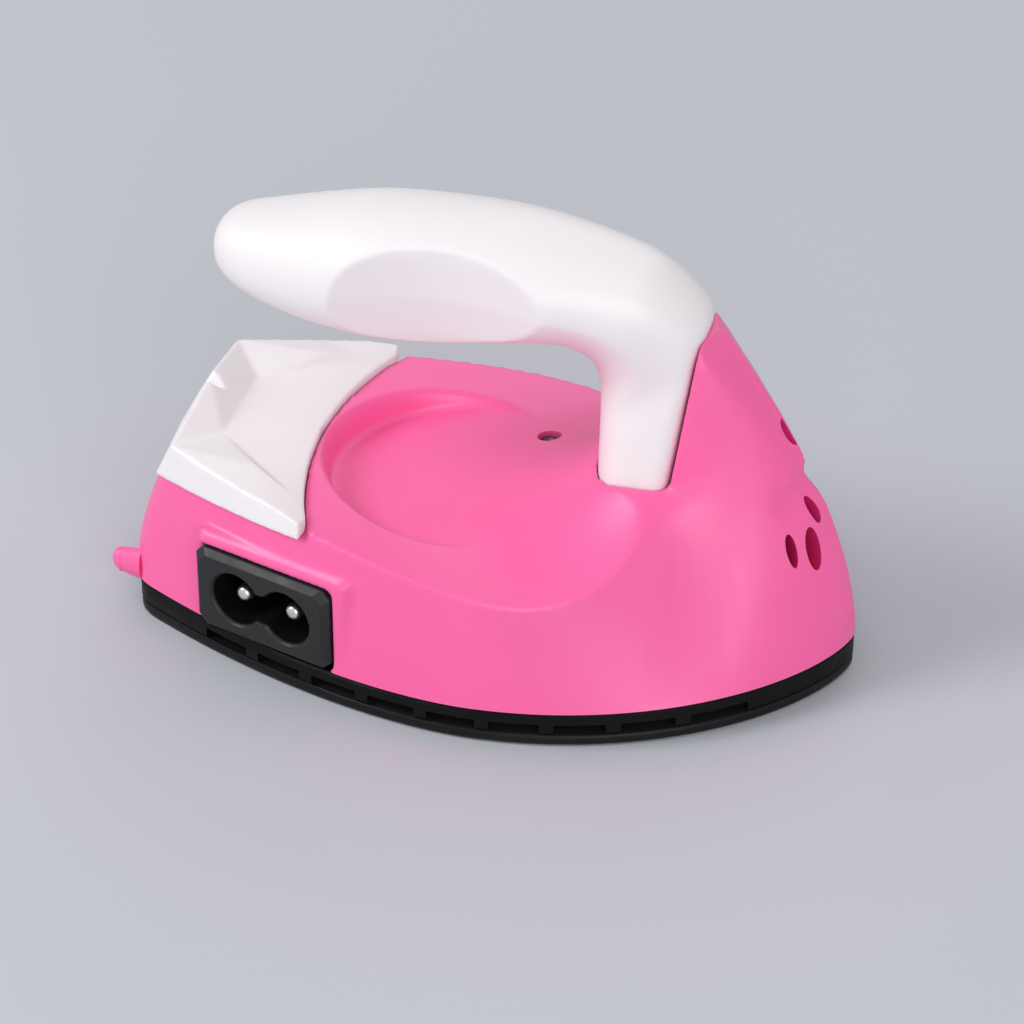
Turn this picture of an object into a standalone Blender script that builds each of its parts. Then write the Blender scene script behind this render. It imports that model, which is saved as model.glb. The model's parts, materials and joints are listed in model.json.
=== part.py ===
"""Mini handheld heat press: a small craft iron with a leaf-shaped heated sole.

The nose points to +X and the mains inlet faces -Y. The sole stands on Z = 0, and
X = 0, Y = 0 is the middle of the whole press. Lengths below are in millimetres
and become metres where a mesh is made.
"""
import math

import bmesh
import bpy
from mathutils import Matrix, Vector

MM = 0.001

# Clearance left between two pieces that touch
GAP = 0.3

# Sole, and the slotted ring that keeps it off the plastic body
SOLE_THICK = 1.9
SOLE_INSET = 0.25
RING_HEIGHT = 3.1
RING_WIDTH = 6.0
RING_INSET = 0.15
WINDOW_HEIGHT = 1.5
WINDOW_COUNT = 9
WINDOW_RIB = 2.0
WINDOW_REAR_X = -38.0
WINDOW_NOSE_X = 43.0

RING_BOTTOM = SOLE_THICK + GAP
RING_TOP = RING_BOTTOM + RING_HEIGHT
BODY_BOTTOM = RING_TOP + GAP

# Leaf outline at the foot of the body
NOSE_X = 53.9
REAR_X = -51.0
HALF_WIDTH = 31.5
WIDEST_X = 4.0
NOSE_FULLNESS = 0.66
REAR_TAPER = 0.63
REAR_CURVE = 1.7
REAR_CORNER = 80.0

# Walls above that outline: the rear leans in, and the nose sweeps back to a fin
REAR_LEAN = 0.26
SIDE_LEAN = 0.06
NOSE_SWEEP = 0.02415
NOSE_SWEEP_CURVE = 1.75
BODY_TOP = 55.0
SWEEP_START = 4.0
SWEEP_LENGTH = 34.0
SWEEP_CURVE = 2.5
SWEEP_STRENGTH = 1.4
WALL = 2.2

# Handle post: where it stands on the body, and the fin in front of it
FOOT_Z = 31.0
FOOT_REAR_X = 16.6
FOOT_FRONT_X = 28.0
FOOT_HALF_WIDTH = 8.9
FIN_TOP_HALF_WIDTH = 5.8
FIN_ROUNDING = 2.2
POST_LEAN = 0.143
POCKET_DEPTH = 5.2

# Deck: a plane that rises to the rear, a mound round the post and a round dish
DECK_Z = 23.9
DECK_RISE = 0.155
MOUND_REACH = 18.5
MOUND_REAR_REACH = 23.0
MOUND_CURVE = 1.7
MOUND_MARGIN = 0.35
DISH_X = -4.2
DISH_RADIUS = 20.2
DISH_Z = 23.6
DISH_FILLET = 1.4
CEILING_Z = 21.4
DECK_SKIN = 2.2

# Rear cover, seated on a flat ledge behind an arc
LEDGE_Z = 25.0
ARC_X = 17.4
ARC_RADIUS = 42.0
COVER_WALL = 1.8
COVER_SKIRT = 0.5
COVER_RIM_X = -41.5
COVER_RIM_Z = 34.5
COVER_CORNER_X = -42.4
COVER_CORNER_Z = 31.4
COVER_SIDE_Z = 28.9
PANEL_REAR = (-37.0, 8.2, 29.9)
PANEL_MIDDLE = (-28.7, 15.2, 29.2)
PANEL_WING = (-29.2, 16.0, 30.4)
PANEL_END = (-23.0, 19.2, 28.8)
COVER_FRONT_X = -20.6
COVER_FRONT_Z = 28.5
COVER_ROOF_Z = 26.9
COVER_SCREW_X = -31.0
COVER_SCREW_Y = 11.0

# Mains inlet, turned so that its face follows the side wall
INLET_X = -27.0
INLET_Y = -24.9
INLET_Z = 12.2
INLET_TURN = 19.0
INLET_WIDTH = 23.2
INLET_HEIGHT = 13.2
INLET_FLANGE = 5.0
INLET_NECK_WIDTH = 19.4
INLET_NECK_HEIGHT = 10.6
INLET_DEPTH = 13.0
INLET_CHAMFER = 0.8
SOCKET_RADIUS = 4.1
SOCKET_WAIST = 5.4
SOCKET_DEPTH = 10.0
PIN_SPACING = 8.6
PIN_RADIUS = 1.2
PIN_SETBACK = 1.6
PIN_TAIL = 4.0
SURROUND_MARGIN = 2.4
SURROUND_SETBACK = 1.5
SURROUND_DEPTH = 8.0

# Nose vents, one in the middle and three on each side: y, z, half width, half height and tilt
VENTS = (
    (0.0, 37.7, 1.3, 2.1, 0.0),
    (2.3, 27.0, 0.9, 2.1, 8.0),
    (4.5, 22.0, 1.15, 3.8, 10.0),
    (6.9, 22.9, 0.6, 2.7, 10.0),
)
VENT_DEPTH = 9.0
NOSE_DIMPLE_Z = 30.5
NOSE_DIMPLE_RADIUS = 7.0
NOSE_DIMPLE_DEPTH = 1.3

# Heel nub: a small flat tab low on the rear wall, at the inlet's side
NUB_Y = -10.2
NUB_WIDTH = 3.6
NUB_HEIGHT = 4.4
NUB_REACH = 3.0

# Handle: stations along the grip as (middle x, middle z, half height, half breadth)
GRIP_STATIONS = (
    (-39.6, 55.3, 1.7, 2.1),
    (-38.4, 55.4, 4.0, 4.9),
    (-35.8, 55.3, 5.8, 7.0),
    (-31.5, 55.2, 7.1, 8.7),
    (-24.5, 55.6, 8.4, 10.3),
    (-16.0, 56.2, 9.4, 11.5),
    (-7.0, 56.8, 9.3, 11.9),
    (2.0, 57.2, 8.6, 11.4),
    (9.5, 56.9, 8.1, 10.3),
)
# and through the bend as (under x, under z, top x, top z, half breadth)
BEND_STATIONS = (
    (12.6, 47.9, 18.0, 62.6, 9.5),
    (14.9, 46.0, 24.4, 59.6, 8.9),
    (16.1, 43.0, 30.6, 54.4, 7.9),
)
POST_LEVELS = (49.0, 43.0, 37.0)
GRIP_SQUARENESS = 2.25
HANDLE_WALL = 2.4
SEAM_GAP = 0.15
RECESS_X = -4.8
RECESS_RADIUS = 34.5
RECESS_HALF_WIDTH = 7.6

# Inner pieces
BOSS_RADIUS = 3.0
SCREW_SHANK = 1.2
SCREW_HEAD = 2.5
SCREW_HEAD_HEIGHT = 1.8
SOLE_FIXINGS = ((34.0, 0.0), (-21.0, 13.0), (-33.0, 1.5))
BODY_FIXINGS = ((-41.0, 8.0), (-41.0, -8.0))
PILLAR_TOP = 9.5
HEAD_SEAT_Z = 22.7
SPACER_RADIUS = 3.2
SPACER_HEIGHT = 8.6
SHIELD_THICK = 0.8
HEATER_X = 4.0
HEATER_LENGTH = 36.0
HEATER_WIDTH = 20.0
HEATER_HEIGHT = 5.0
CLAMP_THICK = 0.8
CLAMP_WIDTH = 9.0
CLAMP_SCREW_Y = 14.5
FUSE_RADIUS = 1.6
FUSE_LENGTH = 9.0
LAMP_X = 5.9
LAMP_Y = 12.0
LAMP_RADIUS = 1.5
WIRE_RADIUS = 0.6
EAR_THICK = 2.0
CLIP_THICK = 0.5
CLIP_FOOT = 1.6
CLIP_WIDTH = 3.0
BOARD_THICK = 1.2
BOARD_LENGTH = 10.0
BOARD_WIDTH = 7.0

COLOURS = {
    "pink": ((0.93, 0.13, 0.38, 1.0), 0.35, 0.0),
    "white": ((0.86, 0.84, 0.85, 1.0), 0.32, 0.0),
    "black": ((0.015, 0.015, 0.016, 1.0), 0.45, 0.0),
    "coated": ((0.02, 0.02, 0.022, 1.0), 0.4, 0.0),
    "steel": ((0.6, 0.6, 0.62, 1.0), 0.25, 1.0),
    "ceramic": ((0.8, 0.78, 0.7, 1.0), 0.6, 0.0),
    "mica": ((0.45, 0.36, 0.2, 1.0), 0.5, 0.0),
    "amber": ((0.4, 0.1, 0.05, 1.0), 0.15, 0.0),
    "board": ((0.05, 0.25, 0.1, 1.0), 0.5, 0.0),
    "sleeve": ((0.75, 0.72, 0.65, 1.0), 0.6, 0.0),
}


def clear_scene():
    """Remove every object that is in the file."""
    for thing in list(bpy.data.objects):
        bpy.data.objects.remove(thing, do_unlink=True)


def material(name):
    """Return the named material, made once."""
    found = bpy.data.materials.get(name)
    if found:
        return found
    colour, roughness, metallic = COLOURS[name]
    made = bpy.data.materials.new(name)
    made.use_nodes = True
    shader = made.node_tree.nodes["Principled BSDF"]
    shader.inputs["Base Color"].default_value = colour
    shader.inputs["Roughness"].default_value = roughness
    shader.inputs["Metallic"].default_value = metallic
    return made


def add_object(name, mesh, finish):
    """Link a mesh to the scene as an object with one material."""
    thing = bpy.data.objects.new(name, mesh)
    bpy.context.scene.collection.objects.link(thing)
    if finish:
        thing.data.materials.append(material(finish))
    return thing


def mesh_from(points, faces, name):
    """Make a closed mesh from points in millimetres, with its faces turned out."""
    bm = bmesh.new()
    corners = [bm.verts.new((x * MM, y * MM, z * MM)) for x, y, z in points]
    for face in faces:
        bm.faces.new([corners[index] for index in face])
    bmesh.ops.recalc_face_normals(bm, faces=bm.faces)
    mesh = bpy.data.meshes.new(name)
    bm.to_mesh(mesh)
    bm.free()
    return mesh


def loft(name, rings, finish=None):
    """Skin a stack of rings that have the same number of points, and cap its ends."""
    count = len(rings[0])
    points = [point for ring in rings for point in ring]
    faces = []
    for level in range(len(rings) - 1):
        low = level * count
        for step in range(count):
            after = (step + 1) % count
            faces.append((low + step, low + after, low + count + after, low + count + step))
    faces.append(tuple(range(count)))
    faces.append(tuple(range(len(points) - count, len(points))))
    return add_object(name, mesh_from(points, faces, name), finish)


def prism(name, outline, low, high, finish=None):
    """Extrude a flat outline of (x, y) points from one height to another."""
    rings = [[(x, y, z) for x, y in outline] for z in (low, high)]
    return loft(name, rings, finish)


def side_prism(name, outline, half_width, finish=None):
    """Extrude an outline of (x, z) points evenly to both sides of the middle."""
    rings = [[(x, y, z) for x, z in outline] for y in (-half_width, half_width)]
    return loft(name, rings, finish)


def box(name, low, high, finish=None):
    """Make a box from its two opposite corners."""
    outline = [(low[0], low[1]), (high[0], low[1]), (high[0], high[1]), (low[0], high[1])]
    return prism(name, outline, low[2], high[2], finish)


def circle(radius, count, x=0.0, y=0.0):
    """Return the points of a circle."""
    turn = 2.0 * math.pi / count
    return [(x + radius * math.cos(turn * i), y + radius * math.sin(turn * i)) for i in range(count)]


def turned(name, profile, finish=None, sides=12):
    """Turn a profile of (radius, height) points about Z."""
    rings = [[(x, y, height) for x, y in circle(radius, sides)] for radius, height in profile]
    return loft(name, rings, finish)


def cylinder(name, radius, x, y, low, high, finish=None, sides=16):
    """Make an upright cylinder."""
    return prism(name, circle(radius, sides, x, y), low, high, finish)


def place(thing, position, axis=(0.0, 0.0, 1.0)):
    """Put an object that was made along Z at a position, pointing along an axis."""
    thing.matrix_world = Matrix.Translation(Vector(position) * MM) @ (
        Vector(axis).to_track_quat("Z", "Y").to_matrix().to_4x4())
    return thing


def combine(target, tool, operation="DIFFERENCE"):
    """Cut, join or keep the overlap of a target with a tool, which is then hidden."""
    step = target.modifiers.new(tool.name, "BOOLEAN")
    step.operation = operation
    step.solver = "EXACT"
    step.object = tool
    tool.hide_render = True
    tool.display_type = "WIRE"


def smooth(thing, angle=32.0):
    """Shade a round piece smooth and keep its edges sharp."""
    thing.data.shade_smooth()
    thing.data.set_sharp_from_angle(angle=math.radians(angle))
    return thing


# The outer form of the body

def nose_x(z):
    """Return where the nose line stands at a height."""
    return NOSE_X - NOSE_SWEEP * max(0.0, z - BODY_BOTTOM) ** NOSE_SWEEP_CURVE


def rear_x(z):
    """Return where the rear wall stands at a height."""
    return REAR_X + REAR_LEAN * max(0.0, z - BODY_BOTTOM)


def side_half_width(x):
    """Return the half width between the long sides, behind their widest place."""
    taper = (WIDEST_X - x) / (WIDEST_X - REAR_X)
    return HALF_WIDTH * (1.0 - REAR_TAPER * taper ** REAR_CURVE)


def leaf_half_width(x, rear, nose):
    """Return the half width of the leaf outline that spans rear to nose."""
    if x >= WIDEST_X:
        share = min(1.0, (x - WIDEST_X) / (nose - WIDEST_X))
        return HALF_WIDTH * (1.0 - share ** 2) ** NOSE_FULLNESS
    share = min(1.0, (WIDEST_X - x) / (WIDEST_X - rear))
    return side_half_width(x) * math.sqrt(1.0 - share ** REAR_CORNER)


def fin_edge_half_width(z):
    """Return the half width of the fin where it meets the post."""
    share = (z - FOOT_Z) / (BODY_TOP - FOOT_Z)
    return FOOT_HALF_WIDTH + (FIN_TOP_HALF_WIDTH - FOOT_HALF_WIDTH) * share


def post_front_x(z):
    """Return where the post meets the fin at a height."""
    return FOOT_FRONT_X + POST_LEAN * (z - FOOT_Z)


def fin_half_width(x, z):
    """Return the half width of the fin at a place."""
    start = post_front_x(z)
    share = min(1.0, max(0.0, (x - start) / (nose_x(z) - start)))
    return fin_edge_half_width(z) * (1.0 - share ** FIN_ROUNDING) ** 0.6


def body_half_width(x, z):
    """Blend the upright leaf walls into the fin as the height grows."""
    rise = z - BODY_BOTTOM
    wide = leaf_half_width(x, rear_x(z), nose_x(z)) - SIDE_LEAN * rise
    sweep = min(1.0, max(0.0, (x - SWEEP_START) / SWEEP_LENGTH))
    power = SWEEP_STRENGTH * sweep ** SWEEP_CURVE
    left = max(0.0, 1.0 - rise / (FOOT_Z - BODY_BOTTOM))
    thin = fin_half_width(x, z)
    if wide <= thin or z >= FOOT_Z:
        return max(0.0, min(wide, thin))
    return thin + (wide - thin) * left ** power


def spaced(count):
    """Return shares from 0 to 1, closer together near both ends."""
    return [(1.0 - math.cos(math.pi * i / count)) / 2.0 for i in range(count + 1)]


def closed_outline(rear, nose, width, count):
    """Return a symmetric outline, with its half width given by a function of x."""
    xs = [rear + (nose - rear) * share for share in spaced(count)]
    one_side = [(x, width(x)) for x in xs[1:-1]]
    other_side = [(x, -y) for x, y in reversed(one_side)]
    return [(rear, 0.0)] + one_side + [(nose, 0.0)] + other_side


def leaf_outline(inset, count=36):
    """Return the sole's outline, drawn in by an inset."""
    rear = REAR_X + inset
    nose = NOSE_X - inset
    scale = (HALF_WIDTH - inset) / HALF_WIDTH
    return closed_outline(rear, nose, lambda x: scale * leaf_half_width(x, rear, nose), count)


def body_ring(z, inset=0.0, count=28):
    """Return one level of the body's outer or inner skin."""
    rear = rear_x(z)
    nose = nose_x(z)
    shrink = (nose - rear - 2.2 * inset) / (nose - rear)
    middle = (rear + nose) / 2.0
    outline = closed_outline(rear, nose, lambda x: body_half_width(x, z), count)
    ring = []
    for x, y in outline:
        side = 0.0 if y == 0.0 else math.copysign(max(0.2, abs(y) - inset), y)
        ring.append((middle + (x - middle) * shrink, side, z))
    return ring


def foot_distance(x, y):
    """Return how far a place is from the post's foot, with its rear reach drawn in."""
    aside = max(0.0, abs(y) - FOOT_HALF_WIDTH - MOUND_MARGIN) / MOUND_REACH
    behind = max(0.0, FOOT_REAR_X - x) / MOUND_REAR_REACH
    return math.hypot(aside, behind)


def mound_share(x, y):
    """Return the mound's share of the rise from the deck to the foot."""
    return max(0.0, 1.0 - foot_distance(x, y)) ** MOUND_CURVE


def deck_plane(x):
    """Return the height of the bare deck."""
    return DECK_Z - DECK_RISE * x


def deck_height(x, y, base=None):
    """Return the height of the deck or, over another base, of the dish's floor."""
    low = deck_plane(x) if base is None else base
    return low + (FOOT_Z - low) * mound_share(x, y)


def height_grid(name, xs, ys, height, top, front_lean=0.0):
    """Make a block whose underside follows a height function."""
    points = []
    for x in xs:
        for y in ys:
            points.append((x, y, height(x, y)))
    for x in xs:
        shift = front_lean * (top - FOOT_Z) if x == xs[-1] else 0.0
        for y in ys:
            points.append((x + shift, y, top))
    rows, columns = len(xs), len(ys)
    half = rows * columns
    faces = []
    for i in range(rows - 1):
        for j in range(columns - 1):
            a = i * columns + j
            faces.append((a, a + 1, a + columns + 1, a + columns))
            faces.append((half + a, half + a + 1, half + a + columns + 1, half + a + columns))
    for i in range(rows - 1):
        for j in (0, columns - 1):
            a = i * columns + j
            faces.append((a, a + columns, half + a + columns, half + a))
    for j in range(columns - 1):
        for i in (0, rows - 1):
            a = i * columns + j
            faces.append((a, a + 1, half + a + 1, half + a))
    return add_object(name, mesh_from(points, faces, name), None)


def steps(low, high, count):
    """Return evenly spaced values from low to high."""
    return [low + (high - low) * i / count for i in range(count + 1)]


def dish_cutter():
    """Make the cutter for the round dish, with a soft fillet at its floor."""
    radii = [DISH_RADIUS * share for share in (0.25, 0.5, 0.75)]
    radii += [DISH_RADIUS - DISH_FILLET, DISH_RADIUS - 0.3 * DISH_FILLET, DISH_RADIUS]
    lifts = [0.0, 0.0, 0.0, 0.0, 0.3 * DISH_FILLET, DISH_FILLET]
    rings = []
    for radius, lift in zip(radii, lifts):
        ring = []
        for x, y in circle(radius, 40, DISH_X):
            ring.append((x, y, deck_height(x, y, DISH_Z) + lift))
        rings.append(ring)
    rings.append([(x, y, COVER_RIM_Z) for x, y in circle(DISH_RADIUS, 40, DISH_X)])
    return loft("dish_cutter", rings)


def arc_outline(radius, reach):
    """Return the plan of all that lies behind the rear cover's arc."""
    half = math.asin(min(0.98, reach / radius))
    arc = []
    for i in range(13):
        angle = math.pi - half + 2.0 * half * i / 12
        arc.append((ARC_X + radius * math.cos(angle), radius * math.sin(angle)))
    far = REAR_X - 6.0
    return arc + [(far, arc[-1][1]), (far, arc[0][1])]


# Outer pieces

def make_soleplate():
    """Make the heated sole, with a chamfered edge and three screw bosses."""
    edge = 0.5
    rings = []
    for z, inset in ((0.0, SOLE_INSET + edge), (edge, SOLE_INSET), (SOLE_THICK, SOLE_INSET)):
        rings.append([(x, y, z) for x, y in leaf_outline(inset)])
    sole = loft("soleplate", rings, "coated")
    for number, (x, y) in enumerate(SOLE_FIXINGS):
        combine(sole, cylinder(f"sole_hole_{number}", SCREW_SHANK + GAP, x, y, 0.6, 3.0))
    for number, side in enumerate((-1.0, 1.0)):
        hole = cylinder(f"clamp_hole_{number}", SCREW_SHANK + GAP, HEATER_X, side * CLAMP_SCREW_Y, 0.6, 3.0)
        combine(sole, hole)
    return smooth(sole)


def make_base_ring():
    """Make the slotted ring between sole and body, with ears and pillars for the screws."""
    ring = prism("base_ring", leaf_outline(RING_INSET), RING_BOTTOM, RING_TOP, "black")
    combine(ring, prism("ring_bore", leaf_outline(RING_INSET + RING_WIDTH), 0.0, 10.0))
    for number, (x, y) in enumerate(SOLE_FIXINGS):
        reach = NOSE_X - x if x > 0 else leaf_half_width(x, REAR_X, NOSE_X) - abs(y)
        turn = 0.0 if x > 0 else math.copysign(math.pi / 2.0, y)
        if x < SOLE_FIXINGS[1][0]:
            reach = x - REAR_X
            turn = math.pi
        ear = ear_outline(x, y, turn, reach - 2.0)
        combine(ring, prism(f"ear_{number}", ear, RING_BOTTOM + 0.01, RING_BOTTOM + EAR_THICK), "UNION")
        combine(ring, cylinder(f"ear_hole_{number}", SCREW_SHANK + GAP, x, y, 0.0, 10.0))
    for number, (x, y) in enumerate(BODY_FIXINGS):
        pad = ear_outline(x, y, math.pi, x - REAR_X - 3.0)
        combine(ring, prism(f"pillar_foot_{number}", pad, RING_BOTTOM + 0.02, RING_TOP - 0.02), "UNION")
        combine(ring, cylinder(f"pillar_{number}", BOSS_RADIUS, x, y, RING_BOTTOM + 0.04, PILLAR_TOP), "UNION")
        combine(ring, cylinder(f"pillar_hole_{number}", SCREW_SHANK + GAP, x, y, 3.4, 20.0))
    for number in range(WINDOW_COUNT):
        for side in (-1.0, 1.0):
            combine(ring, window_cutter(number, side))
    return ring


def ear_outline(x, y, turn, reach):
    """Return a tab with a round end about a screw, running off in one direction."""
    points = []
    for i in range(7):
        angle = turn + math.pi / 2.0 + math.pi * i / 6
        points.append((x + BOSS_RADIUS * math.cos(angle), y + BOSS_RADIUS * math.sin(angle)))
    dx, dy = math.cos(turn) * reach, math.sin(turn) * reach
    last, first = points[-1], points[0]
    return points + [(last[0] + dx, last[1] + dy), (first[0] + dx, first[1] + dy)]


def window_cutter(number, side):
    """Make one low window through the ring's rim."""
    pitch = (WINDOW_NOSE_X - WINDOW_REAR_X) / WINDOW_COUNT
    start = WINDOW_REAR_X + pitch * number + WINDOW_RIB / 2.0
    xs = steps(start, start + pitch - WINDOW_RIB, 3)
    outer = [(x, side * (leaf_half_width(x, REAR_X, NOSE_X) + 1.0)) for x in xs]
    inner = [(x, side * (leaf_half_width(x, REAR_X, NOSE_X) - 3.2)) for x in reversed(xs)]
    low = RING_BOTTOM - 1.0
    name = f"window_{number}_{'far' if side > 0 else 'near'}"
    return prism(name, outer + inner, low, RING_BOTTOM + WINDOW_HEIGHT)


def inlet_point(along, out, z):
    """Turn a place on the inlet's face into body coordinates."""
    turn = math.radians(INLET_TURN)
    x = INLET_X + along * math.cos(turn) - out * math.sin(turn)
    y = INLET_Y - along * math.sin(turn) - out * math.cos(turn)
    return (x, y, z)


def inlet_block(name, half_along, half_height, back, front, chamfer=0.0, finish=None, middle=(0.0, 0.0)):
    """Make a block square to the inlet's face, with its corners cut off."""
    a, h, c = half_along, half_height, chamfer
    if c > 0.0:
        upper = [(a, h - c), (a - c, h), (c - a, h), (-a, h - c)]
        corners = upper + [(along, -up) for along, up in reversed(upper)]
    else:
        corners = [(a, h), (-a, h), (-a, -h), (a, -h)]
    rings = []
    for out in (back, front):
        ring = []
        for along, up in corners:
            ring.append(inlet_point(middle[0] + along, out, INLET_Z + middle[1] + up))
        rings.append(ring)
    return loft(name, rings, finish)


def inlet_rod(name, radius, along, back, front, finish=None, sides=16, tip=0.0):
    """Make a rod square to the inlet's face, with a rounded tip if asked."""
    stops = [(back, radius), (front - tip, radius)]
    if tip > 0.0:
        stops += [(front - 0.3 * tip, 0.75 * radius), (front, 0.35 * radius)]
    rings = []
    for out, size in stops:
        rings.append([inlet_point(along + a, out, INLET_Z + b) for a, b in circle(size, sides)])
    return loft(name, rings, finish)


def make_inlet():
    """Make the two-pin inlet: a flanged body with a figure-eight socket, and its pins."""
    half_flange = INLET_WIDTH / 2.0
    body = inlet_block("inlet_body", half_flange, INLET_HEIGHT / 2.0, -INLET_FLANGE, 0.0, INLET_CHAMFER, "black")
    half_neck = INLET_NECK_WIDTH / 2.0
    neck = inlet_block("inlet_neck", half_neck, INLET_NECK_HEIGHT / 2.0, -INLET_DEPTH, -1.0, INLET_CHAMFER)
    combine(body, neck, "UNION")
    half = PIN_SPACING / 2.0
    for number, along in enumerate((-half, half)):
        combine(body, inlet_rod(f"socket_{number}", SOCKET_RADIUS, along, -SOCKET_DEPTH, 2.0, sides=24))
    waist = inlet_block("socket_waist", half, SOCKET_WAIST / 2.0, -SOCKET_DEPTH - 0.01, 2.1)
    combine(body, waist)
    for name, along in (("inlet_pin_left", -half), ("inlet_pin_right", half)):
        combine(body, inlet_rod(name + "_hole", PIN_RADIUS + GAP, along, -INLET_DEPTH - 2.0, -2.0, sides=12))
        back = -INLET_DEPTH - PIN_TAIL
        smooth(inlet_rod(name, PIN_RADIUS, along, back, -PIN_SETBACK, "steel", 12, tip=1.0))
    return body


def make_body_shell():
    """Make the pink body: a leaf-shaped shell that sweeps up into a fin behind the nose."""
    levels = [BODY_BOTTOM, 10.0, 14.5, 19.0, 23.0, 26.5, 29.0, FOOT_Z + 0.4]
    levels += [34.5, 38.5, 42.5, 46.5, 50.5, BODY_TOP]
    body = loft("body_shell", [body_ring(z) for z in levels], "pink")
    mound_rear = FOOT_REAR_X - MOUND_REAR_REACH
    xs = steps(REAR_X - 6.0, mound_rear - 1.0, 3) + steps(mound_rear + 1.0, FOOT_FRONT_X, 14)
    flat = FOOT_HALF_WIDTH + MOUND_MARGIN
    ys = steps(-33.0, -flat, 8) + steps(-4.0, 4.0, 2) + steps(flat, 33.0, 8)
    deck = height_grid("deck_cutter", xs, ys, deck_height, BODY_TOP + 20.0, POST_LEAN)
    combine(body, deck)
    combine(body, dish_cutter())
    combine(body, prism("ledge_cutter", arc_outline(ARC_RADIUS, 38.0), LEDGE_Z, BODY_TOP))
    add_inlet_surround(body)
    hollow_body(body)
    pocket = prism("pocket_cutter", foot_outline(-GAP), FOOT_Z - POCKET_DEPTH, FOOT_Z + 0.6)
    combine(body, pocket)
    add_vents(body)
    add_body_fixings(body)
    combine(body, cylinder("lamp_hole", LAMP_RADIUS + GAP, LAMP_X, LAMP_Y, 15.0, 30.0))
    add_nub(body)
    return smooth(body)


def add_inlet_surround(body):
    """Add the raised frame that the inlet stands in."""
    margin = SURROUND_MARGIN
    half = INLET_WIDTH / 2.0 + margin / 2.0
    low = BODY_BOTTOM + 0.01
    high = INLET_Z + INLET_HEIGHT / 2.0 + margin
    middle = (margin / 2.0, (low + high) / 2.0 - INLET_Z)
    tall = (high - low) / 2.0
    block = inlet_block("surround", half, tall, -SURROUND_DEPTH, -SURROUND_SETBACK, 0.0, None, middle)
    combine(body, block, "UNION")


def hollow_body(body):
    """Open the body from below and let the inlet through its wall."""
    levels = [BODY_BOTTOM - 2.0, 12.0, 18.0, 24.0, FOOT_Z, 38.0, 45.0, BODY_TOP - 3.0]
    inner = loft("body_hollow", [body_ring(z, WALL, 22) for z in levels])
    rise = BODY_TOP + 10.0
    profile = [
        (REAR_X - 5.0, CEILING_Z),
        (2.0, CEILING_Z),
        (FOOT_FRONT_X, deck_plane(FOOT_FRONT_X) - DECK_SKIN),
        (FOOT_FRONT_X + WALL, deck_plane(FOOT_FRONT_X) - DECK_SKIN),
        (FOOT_FRONT_X + WALL + 1.2, FOOT_Z),
        (post_front_x(rise) + WALL + 1.2, rise),
        (REAR_X - 5.0, rise),
    ]
    combine(inner, side_prism("hollow_ceiling", profile, 45.0))
    combine(body, inner)
    half_width, half_height = INLET_WIDTH / 2.0 + GAP, INLET_HEIGHT / 2.0 + GAP
    combine(body, inlet_block("inlet_seat", half_width, half_height, -INLET_FLANGE - GAP, 3.0))
    half_width, half_height = INLET_NECK_WIDTH / 2.0 + GAP, INLET_NECK_HEIGHT / 2.0 + GAP
    combine(body, inlet_block("inlet_way", half_width, half_height, -16.0, 3.1))


def add_vents(body):
    """Bore the oval nose vents through the fin, along X, and sink the dimple above them."""
    for number, (y, z, half_width, half_height, tilt) in enumerate(VENTS):
        sides = (1.0,) if y == 0.0 else (-1.0, 1.0)
        for side in sides:
            name = f"vent_{number}_{'far' if side > 0 else 'near'}"
            lean = side * math.radians(tilt)
            combine(body, vent_cutter(name, side * y, z, half_width, half_height, lean))
    ball = turned("dimple_cutter", dome_profile(NOSE_DIMPLE_RADIUS), None, 15)
    centre_x = nose_x(NOSE_DIMPLE_Z) + NOSE_DIMPLE_RADIUS - NOSE_DIMPLE_DEPTH
    combine(body, place(ball, (centre_x, 0.0, NOSE_DIMPLE_Z), (1.0, 0.0, 0.0)))


def vent_cutter(name, y, z, half_width, half_height, tilt):
    """Make the cutter for one oval vent."""
    rings = []
    for x in (nose_x(z) - VENT_DEPTH, nose_x(z) + VENT_DEPTH):
        ring = []
        for a, b in circle(1.0, 12):
            across, up = a * half_width, b * half_height
            ring.append((x, y + across * math.cos(tilt) - up * math.sin(tilt),
                         z + up * math.cos(tilt) + across * math.sin(tilt)))
        rings.append(ring)
    return loft(name, rings)


def dome_profile(radius):
    """Return the profile of a ball, from pole to pole."""
    profile = []
    for i in range(1, 12):
        angle = math.pi * i / 12
        profile.append((radius * math.sin(angle), -radius * math.cos(angle)))
    return profile


def add_body_fixings(body):
    """Add the tubes that the body screws run down, and bore every screw hole."""
    for number, (x, y) in enumerate(BODY_FIXINGS):
        tube = cylinder(f"body_boss_{number}", BOSS_RADIUS, x, y, PILLAR_TOP + GAP, CEILING_Z + 1.0)
        combine(body, tube, "UNION")
        combine(body, cylinder(f"body_bore_{number}", SCREW_SHANK + GAP, x, y, 5.0, 30.0, sides=12))
        combine(body, cylinder(f"body_sink_{number}", SCREW_HEAD + GAP, x, y, HEAD_SEAT_Z, 30.1, sides=12))
    for number, side in enumerate((-1.0, 1.0)):
        x, y = FOOT_FRONT_X - 5.5, side * 4.4
        floor = FOOT_Z - POCKET_DEPTH
        combine(body, cylinder(f"foot_bore_{number}", SCREW_SHANK + GAP, x, y, 10.0, floor + 2.0, sides=12))
        combine(body, cylinder(f"foot_sink_{number}", SCREW_HEAD + GAP, x, y, 10.1, floor - 2.4, sides=12))
        x, y = COVER_SCREW_X, side * COVER_SCREW_Y
        combine(body, cylinder(f"cover_bore_{number}", SCREW_SHANK + GAP, x, y, 18.0, 30.0, sides=12))


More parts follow.
